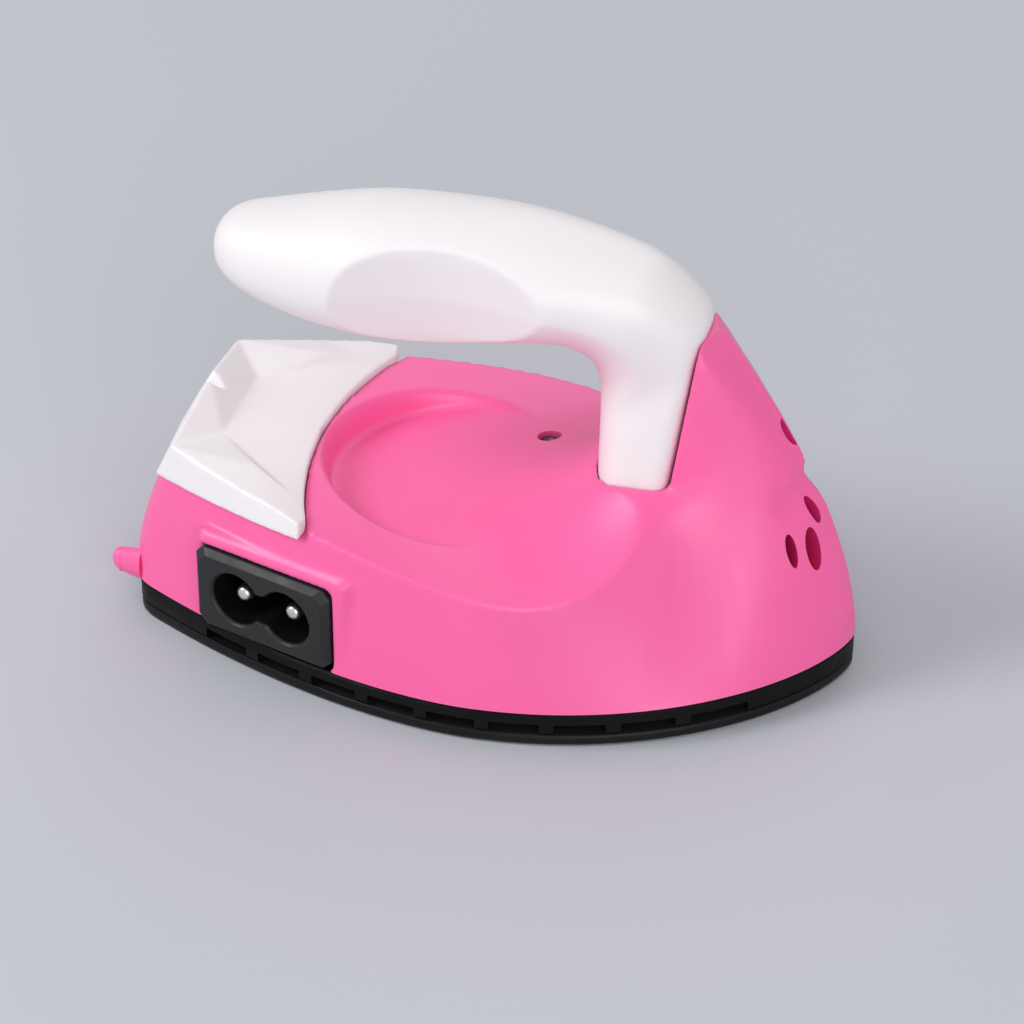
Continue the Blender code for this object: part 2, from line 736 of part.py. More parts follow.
def add_nub(body):
    """Add the rounded tab low on the rear wall."""
    rings = []
    low = BODY_BOTTOM + 0.3
    for x, share in ((REAR_X + 1.6, 1.0), (REAR_X - NUB_REACH + 1.4, 0.95), (REAR_X - NUB_REACH, 0.5)):
        ring = []
        for y, z in circle(1.0, 10):
            ring.append((x, NUB_Y + y * NUB_WIDTH / 2.0 * share, low + (1.0 + z * share) * NUB_HEIGHT / 2.0))
        rings.append(ring)
    combine(body, loft("nub", rings), "UNION")


def make_rear_cover():
    """Make the white cover behind the arc: raised wings round a sunk fan-shaped panel."""
    outer = cover_solid("rear_cover")
    combine(outer, prism("cover_hollow", cover_plan(COVER_WALL), LEDGE_Z - 1.0, COVER_ROOF_Z))
    for number, side in enumerate((-1.0, 1.0)):
        x, y = COVER_SCREW_X, side * COVER_SCREW_Y
        boss = cylinder(f"cover_boss_{number}", BOSS_RADIUS - 0.2, x, y, LEDGE_Z + GAP, COVER_ROOF_Z + 1.0)
        combine(outer, boss, "UNION")
        combine(outer, cylinder(f"cover_hole_{number}", SCREW_SHANK + GAP, x, y, 20.0, 28.0, sides=12))
    return outer


def cover_arc(inset, half_width, count=8):
    """Return the cover's front edge, an arc about the post, from far to near side."""
    radius = ARC_RADIUS + GAP + inset
    half = math.asin(half_width / radius)
    arc = []
    for i in range(count + 1):
        angle = math.pi - half + 2.0 * half * i / count
        arc.append((ARC_X + radius * math.cos(angle), radius * math.sin(angle)))
    return arc


def cover_half_width(x, height):
    """Return the half width of the cover's skirt, which stands a little outside the body."""
    return side_half_width(x) - SIDE_LEAN * (height - BODY_BOTTOM) + COVER_SKIRT


def cover_side(inset, height, count=10):
    """Return one side of the cover's plan, from the arc's end to the rear corner."""
    front = COVER_FRONT_X - inset
    rear = rear_x(LEDGE_Z) + 0.5 + inset
    side = []
    for i in range(count + 1):
        x = front + (rear - front) * i / count
        side.append((x, cover_half_width(x, height) - inset))
    return side


def cover_plan(inset):
    """Return the cover's closed plan at its foot."""
    far = cover_side(inset, LEDGE_Z + GAP)
    near = [(x, -y) for x, y in far]
    arc = cover_arc(inset, far[0][1])
    return arc[1:-1] + near + list(reversed(far))


def cover_solid(name):
    """Make the cover's outer form: skirt, shoulder, raised wings and sunk panel."""
    foot = cover_side(0.0, LEDGE_Z + GAP)
    last = len(foot) - 1
    shoulder = []
    for i in range(last + 1):
        share = i / last
        x = COVER_FRONT_X + (COVER_CORNER_X - COVER_FRONT_X) * share
        y = cover_half_width(x, LEDGE_Z) - 0.6
        shoulder.append((x, y, COVER_SIDE_Z + (COVER_CORNER_Z - COVER_SIDE_Z) * share ** 1.4))
    return cover_mesh(name, foot, shoulder)


def cover_mesh(name, foot, shoulder):
    """Skin the cover between its foot, its shoulder and the facets of its top."""
    low = LEDGE_Z + GAP
    arc = cover_arc(0.0, foot[0][1])
    points = []
    keys = {}

    def put(key, point):
        keys[key] = len(points)
        points.append(point)

    last = len(foot) - 1
    for side, sign in (("far", 1.0), ("near", -1.0)):
        for i in range(last + 1):
            put((side, "foot", i), (foot[i][0], sign * foot[i][1], low))
            put((side, "top", i), (shoulder[i][0], sign * shoulder[i][1], shoulder[i][2]))
        marks = (("rear", PANEL_REAR), ("middle", PANEL_MIDDLE), ("wing", PANEL_WING), ("end", PANEL_END))
        for label, (x, y, z) in marks:
            put((side, label), (x, sign * y, z))
    put("apex", (COVER_RIM_X, 0.0, COVER_RIM_Z))
    put("rear_low", (rear_x(LEDGE_Z) - COVER_SKIRT, 0.0, low))
    for i in range(1, 8):
        put(("arc", "foot", i), (arc[i][0], arc[i][1], low))
        put(("arc", "top", i), (arc[i][0], arc[i][1], COVER_FRONT_Z))
    faces = []
    split = last // 2
    for side in ("far", "near"):
        for i in range(last):
            faces.append([(side, "foot", i), (side, "foot", i + 1), (side, "top", i + 1), (side, "top", i)])
            hub = "end" if i < split else "wing"
            faces.append([(side, "top", i), (side, "top", i + 1), (side, hub)])
        faces.append([(side, "foot", last), "rear_low", "apex", (side, "top", last)])
        faces.append([(side, "top", last), "apex", (side, "rear")])
        faces.append([(side, "top", last), (side, "rear"), (side, "wing")])
        faces.append([(side, "top", split), (side, "wing"), (side, "end")])
        faces.append([(side, "rear"), (side, "middle"), (side, "wing")])
        faces.append([(side, "middle"), (side, "end"), (side, "wing")])
    faces.append(["apex", ("far", "rear"), ("near", "rear")])
    edge = [("arc", "top", i) for i in range(1, 8)]
    for side, line in (("far", edge), ("near", edge[::-1])):
        faces.append([(side, "top", 0), (side, "end"), line[0]])
        faces.append([(side, "end"), (side, "middle"), line[0]])
        faces.append([(side, "middle"), (side, "rear"), line[1], line[0]])
        faces.append([(side, "rear"), line[2], line[1]])
    faces.append([("far", "rear"), ("near", "rear"), edge[4], edge[3], edge[2]])
    lower = [("far", "foot", 0)] + [("arc", "foot", i) for i in range(1, 8)] + [("near", "foot", 0)]
    upper = [("far", "top", 0)] + edge + [("near", "top", 0)]
    for i in range(8):
        faces.append([lower[i], lower[i + 1], upper[i + 1], upper[i]])
    bottom = lower + [("near", "foot", i) for i in range(1, last + 1)] + ["rear_low"]
    bottom += [("far", "foot", i) for i in range(last, 0, -1)]
    faces.append(bottom)
    numbered = [tuple(keys[key] for key in face) for face in faces]
    return add_object(name, mesh_from(points, numbered, name), "white")


# Handle

def grip_ring(middle, up, half_height, half_breadth, count=20):
    """Return one section of the grip, in the plane of its up direction and Y."""
    ring = []
    power = 2.0 / GRIP_SQUARENESS
    for i in range(count):
        angle = 2.0 * math.pi * (i + 0.5) / count
        rise = math.copysign(abs(math.sin(angle)) ** power, math.sin(angle)) * half_height
        aside = math.copysign(abs(math.cos(angle)) ** power, math.cos(angle)) * half_breadth
        ring.append((middle[0] + up[0] * rise, aside, middle[1] + up[1] * rise))
    return ring


def handle_rings(inset, count=20):
    """Return the sections of the whole handle, drawn in by an inset."""
    rings = []
    for x, z, height, breadth in GRIP_STATIONS:
        if inset and height < 3.0 + inset:
            continue
        width = min(breadth - inset, RECESS_HALF_WIDTH - inset) if inset else breadth
        rings.append(grip_ring((x, z), (0.0, 1.0), height - inset, width, count))
    for low_x, low_z, top_x, top_z, breadth in BEND_STATIONS:
        length = math.hypot(top_x - low_x, top_z - low_z)
        up = ((top_x - low_x) / length, (top_z - low_z) / length)
        middle = ((low_x + top_x) / 2.0, (low_z + top_z) / 2.0)
        rings.append(grip_ring(middle, up, length / 2.0 - inset, breadth - inset, count))
    for z in POST_LEVELS + (FOOT_Z, FOOT_Z - POCKET_DEPTH + GAP):
        rings.append(post_ring(z, inset, count))
    return rings


def post_ring(z, inset, count):
    """Return one level section of the post, flat at the front and round at the rear."""
    front = post_front_x(max(z, FOOT_Z)) - GAP - inset
    rear = FOOT_REAR_X + inset
    width = fin_edge_half_width(max(z, FOOT_Z)) - inset
    ring = []
    for i in range(count):
        angle = 2.0 * math.pi * (i + 0.5) / count
        rise, aside = math.sin(angle), math.cos(angle)
        power = 0.3 if rise > 0.0 else 0.8
        half = (front - rear) / 2.0
        along = math.copysign(abs(rise) ** power, rise) * half
        across = math.copysign(abs(aside) ** (0.45 if rise > 0.0 else 0.75), aside) * width
        ring.append(((front + rear) / 2.0 + along, across, z))
    return ring


def foot_outline(inset):
    """Return the plan of the post's foot, drawn in by an inset."""
    return [(x, y) for x, y, z in post_ring(FOOT_Z, inset, 20)]


def make_handle():
    """Make the hollow handle in two halves that meet on the middle plane."""
    halves = []
    for name, side in (("handle_right", -1.0), ("handle_left", 1.0)):
        half = loft(name, handle_rings(0.0), "white")
        combine(half, loft(name + "_hollow", handle_rings(HANDLE_WALL, 12)[:-1]))
        for number, x in enumerate((-22.0, 6.0)):
            boss = turned(f"{name}_boss_{number}", [(BOSS_RADIUS, -9.0), (BOSS_RADIUS, 9.0)], None, 12)
            combine(half, place(boss, (x, 0.0, 56.0), (0.0, 1.0, 0.0)), "UNION")
        combine(half, prism(name + "_foot", foot_outline(1.0), FOOT_Z - POCKET_DEPTH + 0.5, FOOT_Z + 4.0), "UNION")
        low, high = sorted((side * SEAM_GAP, side * 30.0))
        keep = box(name + "_side", (-60.0, low, 0.0), (60.0, high, 90.0))
        combine(half, keep, "INTERSECT")
        combine(half, finger_recess(name, side))
        bore_handle(half, name, side)
        halves.append(smooth(half, 50.0))
    return halves


def finger_recess(name, side):
    """Make the upright barrel that cuts the finger recess in one side of the grip."""
    middle = side * (RECESS_HALF_WIDTH + RECESS_RADIUS)
    return cylinder(name + "_recess", RECESS_RADIUS, RECESS_X, middle, 40.0, 75.0, sides=90)


def bore_handle(half, name, side):
    """Bore one half for its cross screws and its foot screw."""
    for number, x in enumerate((-22.0, 6.0)):
        reach = 7.0 if side < 0.0 else 20.0
        hole = turned(f"{name}_hole_{number}", [(SCREW_SHANK + GAP, -7.0), (SCREW_SHANK + GAP, reach)], None, 12)
        combine(half, place(hole, (x, 0.0, 56.0), (0.0, 1.0, 0.0)))
        if side > 0.0:
            sink = turned(f"{name}_sink_{number}", [(SCREW_HEAD + GAP, 6.5), (SCREW_HEAD + GAP, 20.0)], None, 12)
            combine(half, place(sink, (x, 0.0, 56.0), (0.0, 1.0, 0.0)))
    x = FOOT_FRONT_X - 5.5
    hole = cylinder(name + "_foot_hole", SCREW_SHANK + GAP, x, side * 4.4, 20.0, FOOT_Z + 3.0, sides=12)
    combine(half, hole)


# Inner pieces

def make_screw(name, position, axis, length):
    """Make one pan-head screw: the position is under its head, the axis runs to its tip."""
    profile = [
        (SCREW_HEAD * 0.8, -SCREW_HEAD_HEIGHT),
        (SCREW_HEAD, -SCREW_HEAD_HEIGHT * 0.6),
        (SCREW_HEAD, 0.0),
        (SCREW_SHANK, 0.01),
        (SCREW_SHANK, length - 1.0),
        (SCREW_SHANK * 0.5, length),
    ]
    return place(smooth(turned(name, profile, "steel", 10)), position, axis)


def make_screws():
    """Put in every screw of the press."""
    head = shield_top() + GAP
    for number, (x, y) in enumerate(SOLE_FIXINGS, 1):
        make_screw(f"sole_screw_{number}", (x, y, head), (0.0, 0.0, -1.0), head - 1.0)
    for name, (x, y) in zip(("body_screw_left", "body_screw_right"), BODY_FIXINGS):
        make_screw(name, (x, y, HEAD_SEAT_Z + GAP), (0.0, 0.0, -1.0), HEAD_SEAT_Z - 3.4)
    for name, side in (("cover_screw_left", 1.0), ("cover_screw_right", -1.0)):
        make_screw(name, (COVER_SCREW_X, side * COVER_SCREW_Y, CEILING_Z - GAP), (0.0, 0.0, 1.0), 6.4)
    for name, side in (("foot_screw_left", 1.0), ("foot_screw_right", -1.0)):
        under = FOOT_Z - POCKET_DEPTH - 2.4 - GAP
        make_screw(name, (FOOT_FRONT_X - 5.5, side * 4.4, under), (0.0, 0.0, 1.0), 10.2)
    for name, x in (("handle_screw_rear", -22.0), ("handle_screw_front", 6.0)):
        make_screw(name, (x, 6.5 + GAP, 56.0), (0.0, -1.0, 0.0), 12.6)
    for name, side in (("clamp_screw_left", 1.0), ("clamp_screw_right", -1.0)):
        top = SOLE_THICK + GAP + CLAMP_THICK + GAP
        make_screw(name, (HEATER_X, side * CLAMP_SCREW_Y, top), (0.0, 0.0, -1.0), top - 0.9)


def make_heater():
    """Make the heating element, its spring clamp, the spacers and the mica shield."""
    half_length, half_width = HEATER_LENGTH / 2.0, HEATER_WIDTH / 2.0
    low = SOLE_THICK + GAP
    high = low + HEATER_HEIGHT
    box("ptc_heater", (HEATER_X - half_length, -half_width, low),
        (HEATER_X + half_length, half_width, high), "steel")
    inner, outer = half_width + GAP, CLAMP_SCREW_Y + 3.0
    top = high + GAP
    thick = CLAMP_THICK
    profile = [
        (-outer, low), (-inner - thick, low), (-inner - thick + 0.01, top), (inner + thick - 0.01, top),
        (inner + thick, low), (outer, low), (outer, low + thick), (inner + 2.0 * thick, low + thick),
        (inner + 2.0 * thick, top + thick), (-inner - 2.0 * thick, top + thick),
        (-inner - 2.0 * thick, low + thick), (-outer, low + thick),
    ]
    rings = []
    for x in (HEATER_X - CLAMP_WIDTH / 2.0, HEATER_X + CLAMP_WIDTH / 2.0):
        rings.append([(x, y, z) for y, z in profile])
    clamp = loft("heater_clamp", rings, "steel")
    for number, side in enumerate((-1.0, 1.0)):
        y = side * CLAMP_SCREW_Y
        combine(clamp, cylinder(f"clamp_way_{number}", SCREW_SHANK + GAP, HEATER_X, y, 0.0, 5.0, sides=12))
    base = RING_BOTTOM + EAR_THICK + GAP
    for number, (x, y) in enumerate(SOLE_FIXINGS, 1):
        spacer = cylinder(f"sole_spacer_{number}", SPACER_RADIUS, x, y, base, base + SPACER_HEIGHT, "ceramic", 14)
        combine(spacer, cylinder(f"spacer_bore_{number}", SCREW_SHANK + GAP, x, y, 0.0, 20.0, sides=12))
    low = base + SPACER_HEIGHT + GAP
    outline = [(-37.0, -3.0), (-37.0, 6.0), (-24.0, 17.0), (18.0, 17.0), (38.5, 4.5), (38.5, -4.5),
               (18.0, -17.0), (-12.0, -17.0), (-15.0, -8.0), (-29.0, -4.5)]
    shield = prism("heat_shield", outline, low, low + SHIELD_THICK, "mica")
    for number, (x, y) in enumerate(SOLE_FIXINGS):
        combine(shield, cylinder(f"shield_hole_{number}", SCREW_SHANK + GAP, x, y, 0.0, 20.0, sides=12))


def make_fuse():
    """Make the thermal fuse that lies on the heater clamp, and the clip over it."""
    floor = clamp_top() + GAP
    middle = floor + FUSE_RADIUS
    rings = []
    for x in (HEATER_X - FUSE_LENGTH / 2.0, HEATER_X + FUSE_LENGTH / 2.0):
        rings.append([(x, y, middle + z) for y, z in circle(FUSE_RADIUS, 12)])
    smooth(loft("thermal_fuse", rings, "steel"))
    inner = FUSE_RADIUS + GAP
    outer = inner + CLIP_THICK
    under, over = [], []
    for i in range(9):
        angle = math.pi * i / 8
        under.append((inner * math.cos(angle), middle + inner * math.sin(angle)))
        over.append((outer * math.cos(angle), middle + outer * math.sin(angle)))
    reach = outer + CLIP_FOOT
    profile = [(inner, floor)] + under + [(-inner, floor), (-reach, floor), (-reach, floor + CLIP_THICK)]
    profile += [(-outer, floor + CLIP_THICK)] + list(reversed(over))
    profile += [(outer, floor + CLIP_THICK), (reach, floor + CLIP_THICK), (reach, floor)]
    rings = []
    for x in (HEATER_X - CLIP_WIDTH / 2.0, HEATER_X + CLIP_WIDTH / 2.0):
        rings.append([(x, y, z) for y, z in profile])
    loft("fuse_clip", rings, "steel")


def clamp_top():
    """Return the height of the heater clamp's bridge."""
    return SOLE_THICK + GAP + HEATER_HEIGHT + GAP + CLAMP_THICK


def shield_top():
    """Return the height of the mica shield's upper face."""
    return RING_BOTTOM + EAR_THICK + GAP + SPACER_HEIGHT + GAP + SHIELD_THICK


def make_lamp():
    """Make the lens in the deck, the lamp under it and the board that carries the lamp."""
    deck = deck_height(LAMP_X, LAMP_Y)
    low = shield_top() + GAP
    high = low + BOARD_THICK
    half_length, half_width = BOARD_LENGTH / 2.0, BOARD_WIDTH / 2.0
    box("indicator_board", (LAMP_X - half_length, LAMP_Y - half_width, low),
        (LAMP_X + half_length, LAMP_Y + half_width, high), "board")
    foot = high + GAP
    profile = [(LAMP_RADIUS, foot), (LAMP_RADIUS, foot + 2.0), (LAMP_RADIUS * 0.7, foot + 2.7), (0.4, foot + 3.0)]
    place(smooth(turned("indicator_lamp", profile, "amber", 12)), (LAMP_X, LAMP_Y, 0.0))
    profile = [(LAMP_RADIUS, foot + 3.0 + GAP), (LAMP_RADIUS, deck - 1.4), (LAMP_RADIUS * 0.6, deck - 1.0)]
    place(smooth(turned("indicator_lens", profile, "amber", 14)), (LAMP_X, LAMP_Y, 0.0))


def curve_points(stops, per_span=4):
    """Return points of a smooth curve through the stops of a wire's route."""
    ends = [stops[0]] + list(stops) + [stops[-1]]
    points = []
    for i in range(len(stops) - 1):
        a, b, c, d = (Vector(stop) for stop in ends[i:i + 4])
        for step in range(per_span):
            t = step / per_span
            near = (2.0 * b + (c - a) * t + (2.0 * a - 5.0 * b + 4.0 * c - d) * t * t)
            points.append(0.5 * (near + (3.0 * b - a - 3.0 * c + d) * t ** 3))
    return points + [Vector(stops[-1])]


def make_wire(name, stops):
    """Make one insulated lead along a route of a few stops."""
    curve = bpy.data.curves.new(name, "CURVE")
    curve.dimensions = "3D"
    curve.bevel_depth = WIRE_RADIUS * MM
    curve.bevel_resolution = 1
    curve.use_fill_caps = True
    points = curve_points(stops)
    spline = curve.splines.new("POLY")
    spline.points.add(len(points) - 1)
    for knot, point in zip(spline.points, points):
        knot.co = (point.x * MM, point.y * MM, point.z * MM, 1.0)
    wire = bpy.data.objects.new(name, curve)
    bpy.context.scene.collection.objects.link(wire)
    curve.materials.append(material("sleeve"))


def make_leads():
    """Run the leads from the inlet pins to the fuse, the heater and the lamp board."""
    half = PIN_SPACING / 2.0
    back = -INLET_DEPTH - PIN_TAIL
    live = inlet_point(half, back - GAP, INLET_Z)
    neutral = inlet_point(-half, back - GAP, INLET_Z)
    fuse_z = clamp_top() + GAP + FUSE_RADIUS
    fuse_rear = HEATER_X - FUSE_LENGTH / 2.0 - GAP
    fuse_front = HEATER_X + FUSE_LENGTH / 2.0 + GAP
    heater_rear = HEATER_X - HEATER_LENGTH / 2.0 - GAP
    heater_front = HEATER_X + HEATER_LENGTH / 2.0 + GAP
    tag_z = SOLE_THICK + GAP + HEATER_HEIGHT / 2.0
    make_wire("live_lead", [live, inlet_point(half, back - 2.5, INLET_Z), (-12.5, -4.0, 11.4),
                            (-6.0, -0.6, 10.6), (fuse_rear - 2.0, 0.0, fuse_z), (fuse_rear, 0.0, fuse_z)])
    make_wire("fuse_lead", [(fuse_front, 0.0, fuse_z), (fuse_front + 2.0, 0.0, fuse_z), (16.0, 2.0, 10.6),
                            (22.0, 4.2, 9.8), (25.6, 5.0, 7.6), (25.4, 5.0, 5.4),
                            (heater_front + 1.2, 5.0, tag_z), (heater_front, 5.0, tag_z)])
    make_wire("neutral_lead", [neutral, inlet_point(-half, back - 2.0, INLET_Z), (-21.6, -3.0, 10.6),
                               (-19.4, -3.6, 7.6), (-17.4, -4.0, 5.4),
                               (heater_rear - 1.2, -4.0, tag_z), (heater_rear, -4.0, tag_z)])
    board_x = LAMP_X - BOARD_LENGTH / 2.0 - GAP
    board_z = shield_top() + GAP + BOARD_THICK / 2.0
    reach = PIN_RADIUS + GAP
    live_side = inlet_point(half, back + 1.4, INLET_Z + reach)
    neutral_side = inlet_point(-half, back + 1.4, INLET_Z + reach)
    make_wire("lamp_lead_live", [live_side, (live_side[0], live_side[1], live_side[2] + 1.4),
                                 (live_side[0] + 2.6, live_side[1] + 3.6, 17.2), (-8.0, 2.0, 17.0),
                                 (-3.0, LAMP_Y - 1.8, 15.9), (board_x - 1.2, LAMP_Y - 1.6, board_z + 0.2),
                                 (board_x, LAMP_Y - 1.6, board_z + 0.2)])
    make_wire("lamp_lead_neutral", [neutral_side, (neutral_side[0], neutral_side[1], neutral_side[2] + 1.4),
                                    (neutral_side[0] + 2.0, neutral_side[1] + 4.4, 17.7),
                                    (-14.0, 7.0, 17.2), (-6.0, LAMP_Y + 1.0, 16.2),
                                    (board_x - 1.4, LAMP_Y + 1.6, board_z + 0.2),
                                    (board_x, LAMP_Y + 1.6, board_z + 0.2)])


def build():
    """Build the whole press."""
    clear_scene()
    make_soleplate()
    make_base_ring()
    make_inlet()
    make_body_shell()
    make_rear_cover()
    make_handle()
    make_screws()
    make_heater()
    make_fuse()
    make_lamp()
    make_leads()


build()
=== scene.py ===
"""Mini handheld heat press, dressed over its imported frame.

The nose points to +X, the mains inlet faces -Y and the sole stands on Z = 0. Sizes in the
classes are millimetres and become metres where a mesh is made.
"""
import json
import logging
import math
from dataclasses import dataclass, field
from enum import Enum

import bmesh
import bpy
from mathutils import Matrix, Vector


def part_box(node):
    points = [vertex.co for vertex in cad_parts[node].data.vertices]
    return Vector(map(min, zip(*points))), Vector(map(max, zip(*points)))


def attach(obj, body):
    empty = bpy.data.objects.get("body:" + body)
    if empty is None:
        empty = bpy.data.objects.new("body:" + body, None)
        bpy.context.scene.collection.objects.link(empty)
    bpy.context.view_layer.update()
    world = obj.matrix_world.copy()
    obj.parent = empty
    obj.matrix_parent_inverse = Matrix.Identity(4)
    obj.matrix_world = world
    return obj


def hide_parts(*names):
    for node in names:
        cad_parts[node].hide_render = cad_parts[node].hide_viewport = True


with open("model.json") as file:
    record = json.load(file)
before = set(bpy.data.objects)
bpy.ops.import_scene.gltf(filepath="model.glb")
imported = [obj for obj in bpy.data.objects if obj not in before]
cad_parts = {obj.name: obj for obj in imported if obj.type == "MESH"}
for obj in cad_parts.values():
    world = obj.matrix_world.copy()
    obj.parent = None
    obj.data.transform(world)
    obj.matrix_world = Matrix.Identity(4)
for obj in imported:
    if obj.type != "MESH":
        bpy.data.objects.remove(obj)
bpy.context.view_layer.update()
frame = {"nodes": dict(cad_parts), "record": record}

logging.basicConfig(level=logging.INFO, format="%(message)s")
log = logging.getLogger("heat_press")

MM = 0.001
BODY = "root"
Point = tuple[float, float, float]
Ring = list[Point]


# Bench tools: the few modelling moves that every piece is made with

class Join(Enum):
    """How one solid is worked into another."""

    CUT = "DIFFERENCE"
    WELD = "UNION"
    KEEP = "INTERSECT"


def pick(piece: bpy.types.Object) -> None:
    """Make one piece the only selected and active object.

    Args:
        piece: The object that the next operators act on.
    """
    bpy.ops.object.select_all(action="DESELECT")
    piece.select_set(True)
    bpy.context.view_layer.objects.active = piece


def skin(name: str, rings: list[Ring]) -> bpy.types.Object:
    """Extrude a disc ring by ring into a closed solid.

    Args:
        name: The new object's name.
        rings: Rings in millimetres, each with the same number of points.

    Returns:
        The closed solid, with its normals facing out.
    """
    bpy.ops.object.select_all(action="DESELECT")
    bpy.ops.mesh.primitive_circle_add(vertices=len(rings[0]), radius=MM, fill_type="NGON")
    piece = bpy.context.object
    piece.name = name
    bpy.ops.object.mode_set(mode="EDIT")
    shell = bmesh.from_edit_mesh(piece.data)
    slot = shell.verts.layers.int.new("slot")
    for index, corner in enumerate(next(iter(shell.faces)).verts):
        corner[slot] = index
    for level, ring in enumerate(rings):
        if level:
            bpy.ops.mesh.extrude_region_move()
            shell = bmesh.from_edit_mesh(piece.data)
            slot = shell.verts.layers.int["slot"]
        for corner in shell.verts:
            if corner.select:
                x, y, z = ring[corner[slot]]
                corner.co = (x * MM, y * MM, z * MM)
        bmesh.update_edit_mesh(piece.data)
    bpy.ops.mesh.select_all(action="SELECT")
    bpy.ops.mesh.normals_make_consistent(inside=False)
    bpy.ops.object.mode_set(mode="OBJECT")
    return piece


def apply_step(piece: bpy.types.Object, kind: str, **settings: object) -> bpy.types.Object:
    """Add one modifier with its settings and apply it.

    Args:
        piece: The object to work on.
        kind: The modifier's type.
        **settings: The modifier's own values.

    Returns:
        The same object.
    """
    pick(piece)
    step = piece.modifiers.new(kind.title(), kind)
    for key, value in settings.items():
        setattr(step, key, value)
    bpy.ops.object.modifier_apply(modifier=step.name)
    return piece


def smooth(piece: bpy.types.Object, degrees: float) -> None:
    """Shade a piece smooth, but for the edges sharper than an angle.

    Args:
        piece: The piece to shade.
        degrees: The angle past which an edge stays hard.
    """
    pick(piece)
    bpy.ops.object.shade_smooth_by_angle(angle=math.radians(degrees))


def work_in(piece: bpy.types.Object, tool: bpy.types.Object, how: Join = Join.CUT) -> bpy.types.Object:
    """Cut, weld or keep with a tool solid, which is then thrown away.

    Args:
        piece: The solid that stays.
        tool: The solid that is used up.
        how: Whether the tool is cut out, welded on, or kept where both are.

    Returns:
        The worked solid.
    """
    apply_step(piece, "BOOLEAN", operation=how.value, solver="EXACT", object=tool)
    bpy.data.objects.remove(tool, do_unlink=True)
    return piece


def gather(pieces: list[bpy.types.Object]) -> bpy.types.Object:
    """Join tools that stand apart from each other into one tool.

    Args:
        pieces: The tools, none of which touches another.

    Returns:
        The first tool, which now holds them all.
    """
    pick(pieces[0])
    for piece in pieces[1:]:
        piece.select_set(True)
    bpy.ops.object.join()
    return pieces[0]


def mould(piece: bpy.types.Object, grid_mm: float, rounds: int) -> bpy.types.Object:
    """Give a solid the soft edges of a moulding: an even skin, then a few smoothing rounds.

    Args:
        piece: The solid, with hard edges.
        grid_mm: The size of the even skin's faces.
        rounds: How often the skin is smoothed.

    Returns:
        The same object, shaded smooth.
    """
    apply_step(piece, "REMESH", mode="VOXEL", voxel_size=grid_mm * MM)
    apply_step(piece, "SMOOTH", factor=0.5, iterations=rounds)
    pick(piece)
    bpy.ops.object.shade_smooth()
    return piece


def ellipse(half_x: float, half_y: float, count: int) -> list[tuple[float, float]]:
    """Return the points of an ellipse about the origin.

    Args:
        half_x: Half its first axis.
        half_y: Half its second axis.
        count: The number of points.

    Returns:
        Pairs, going round once.
    """
    turn = 2.0 * math.pi / count
    return [(half_x * math.cos(turn * i), half_y * math.sin(turn * i)) for i in range(count)]


def prism(name: str, plan: list[tuple[float, float]], low: float, high: float) -> bpy.types.Object:
    """Stand a plan up between two heights.

    Args:
        name: The new object's name.
        plan: Its outline in X and Y.
        low: The height of its lower end.
        high: The height of its upper end.

    Returns:
        The closed prism.
    """
    return skin(name, [[(x, y, z) for x, y in plan] for z in (low, high)])


def rod(name: str, radius: float, middle: tuple[float, float], low: float, high: float) -> bpy.types.Object:
    """Make an upright rod of 32 sides.

    Args:
        name: The new object's name.
        radius: Its radius.
        middle: Its middle in X and Y.
        low: The height of its lower end.
        high: The height of its upper end.

    Returns:
        The closed rod.
    """
    plan = [(middle[0] + a, middle[1] + b) for a, b in ellipse(radius, radius, 32)]
    return prism(name, plan, low, high)


def mirrored(rear: float, side: list[tuple[float, float]], nose: float, z: float) -> Ring:
    """Close one side of an outline with its mirror image.

    Args:
        rear: The rear end, on the middle plane.
        side: The points between, in X and Y.
        nose: The front end, on the middle plane.
        z: The height.

    Returns:
        The ring of points.
    """
    ring = [(rear, 0.0, z)] + [(x, y, z) for x, y in side]
    return ring + [(nose, 0.0, z)] + [(x, -y, z) for x, y in reversed(side)]


def steps(low: float, high: float, count: int) -> list[float]:
    """Return evenly spaced values from low to high.

    Args:
        low: The first value.
        high: The last value.
        count: The number of spaces between them.

    Returns:
        One more value than there are spaces.
    """
    return [low + (high - low) * i / count for i in range(count + 1)]


def ease(share: float) -> float:
    """Return a share from 0 to 1, eased at both ends."""
    share = min(1.0, max(0.0, share))
    return share * share * (3.0 - 2.0 * share)


# Finishes

def linear(colour: str) -> tuple[float, float, float, float]:
    """Turn an sRGB hex colour into the linear values that a shader takes.

    Args:
        colour: Six hex digits after a hash.

    Returns:
        Linear red, green and blue, and full alpha.
    """
    values = []
    for start in (1, 3, 5):
        level = int(colour[start:start + 2], 16) / 255.0
        values.append(level / 12.92 if level <= 0.04045 else ((level + 0.055) / 1.055) ** 2.4)
    return (values[0], values[1], values[2], 1.0)


def per_metre(size_mm: float) -> float:
    """Return the pattern scale whose features repeat at a real size."""
    return 1000.0 / size_mm


def add_node(tree: bpy.types.NodeTree, kind: str, links: dict | None = None,
             **settings: object) -> bpy.types.Node:
    """Add one node with its values and its incoming links.

    Args:
        tree: The material's node tree.
        kind: The node's type name.
        links: Input name or number to the output socket that feeds it.
        **settings: Values: an input's name with underscores, or else the node's own property.

    Returns:
        The new node.
    """
    made = tree.nodes.new(kind)
    for key, value in settings.items():
        socket = made.inputs.get(key.replace("_", " "))
        if socket is not None:
            socket.default_value = value
        else:
            setattr(made, key, value)
    for key, output in (links or {}).items():
        tree.links.new(output, made.inputs[key])
    return made


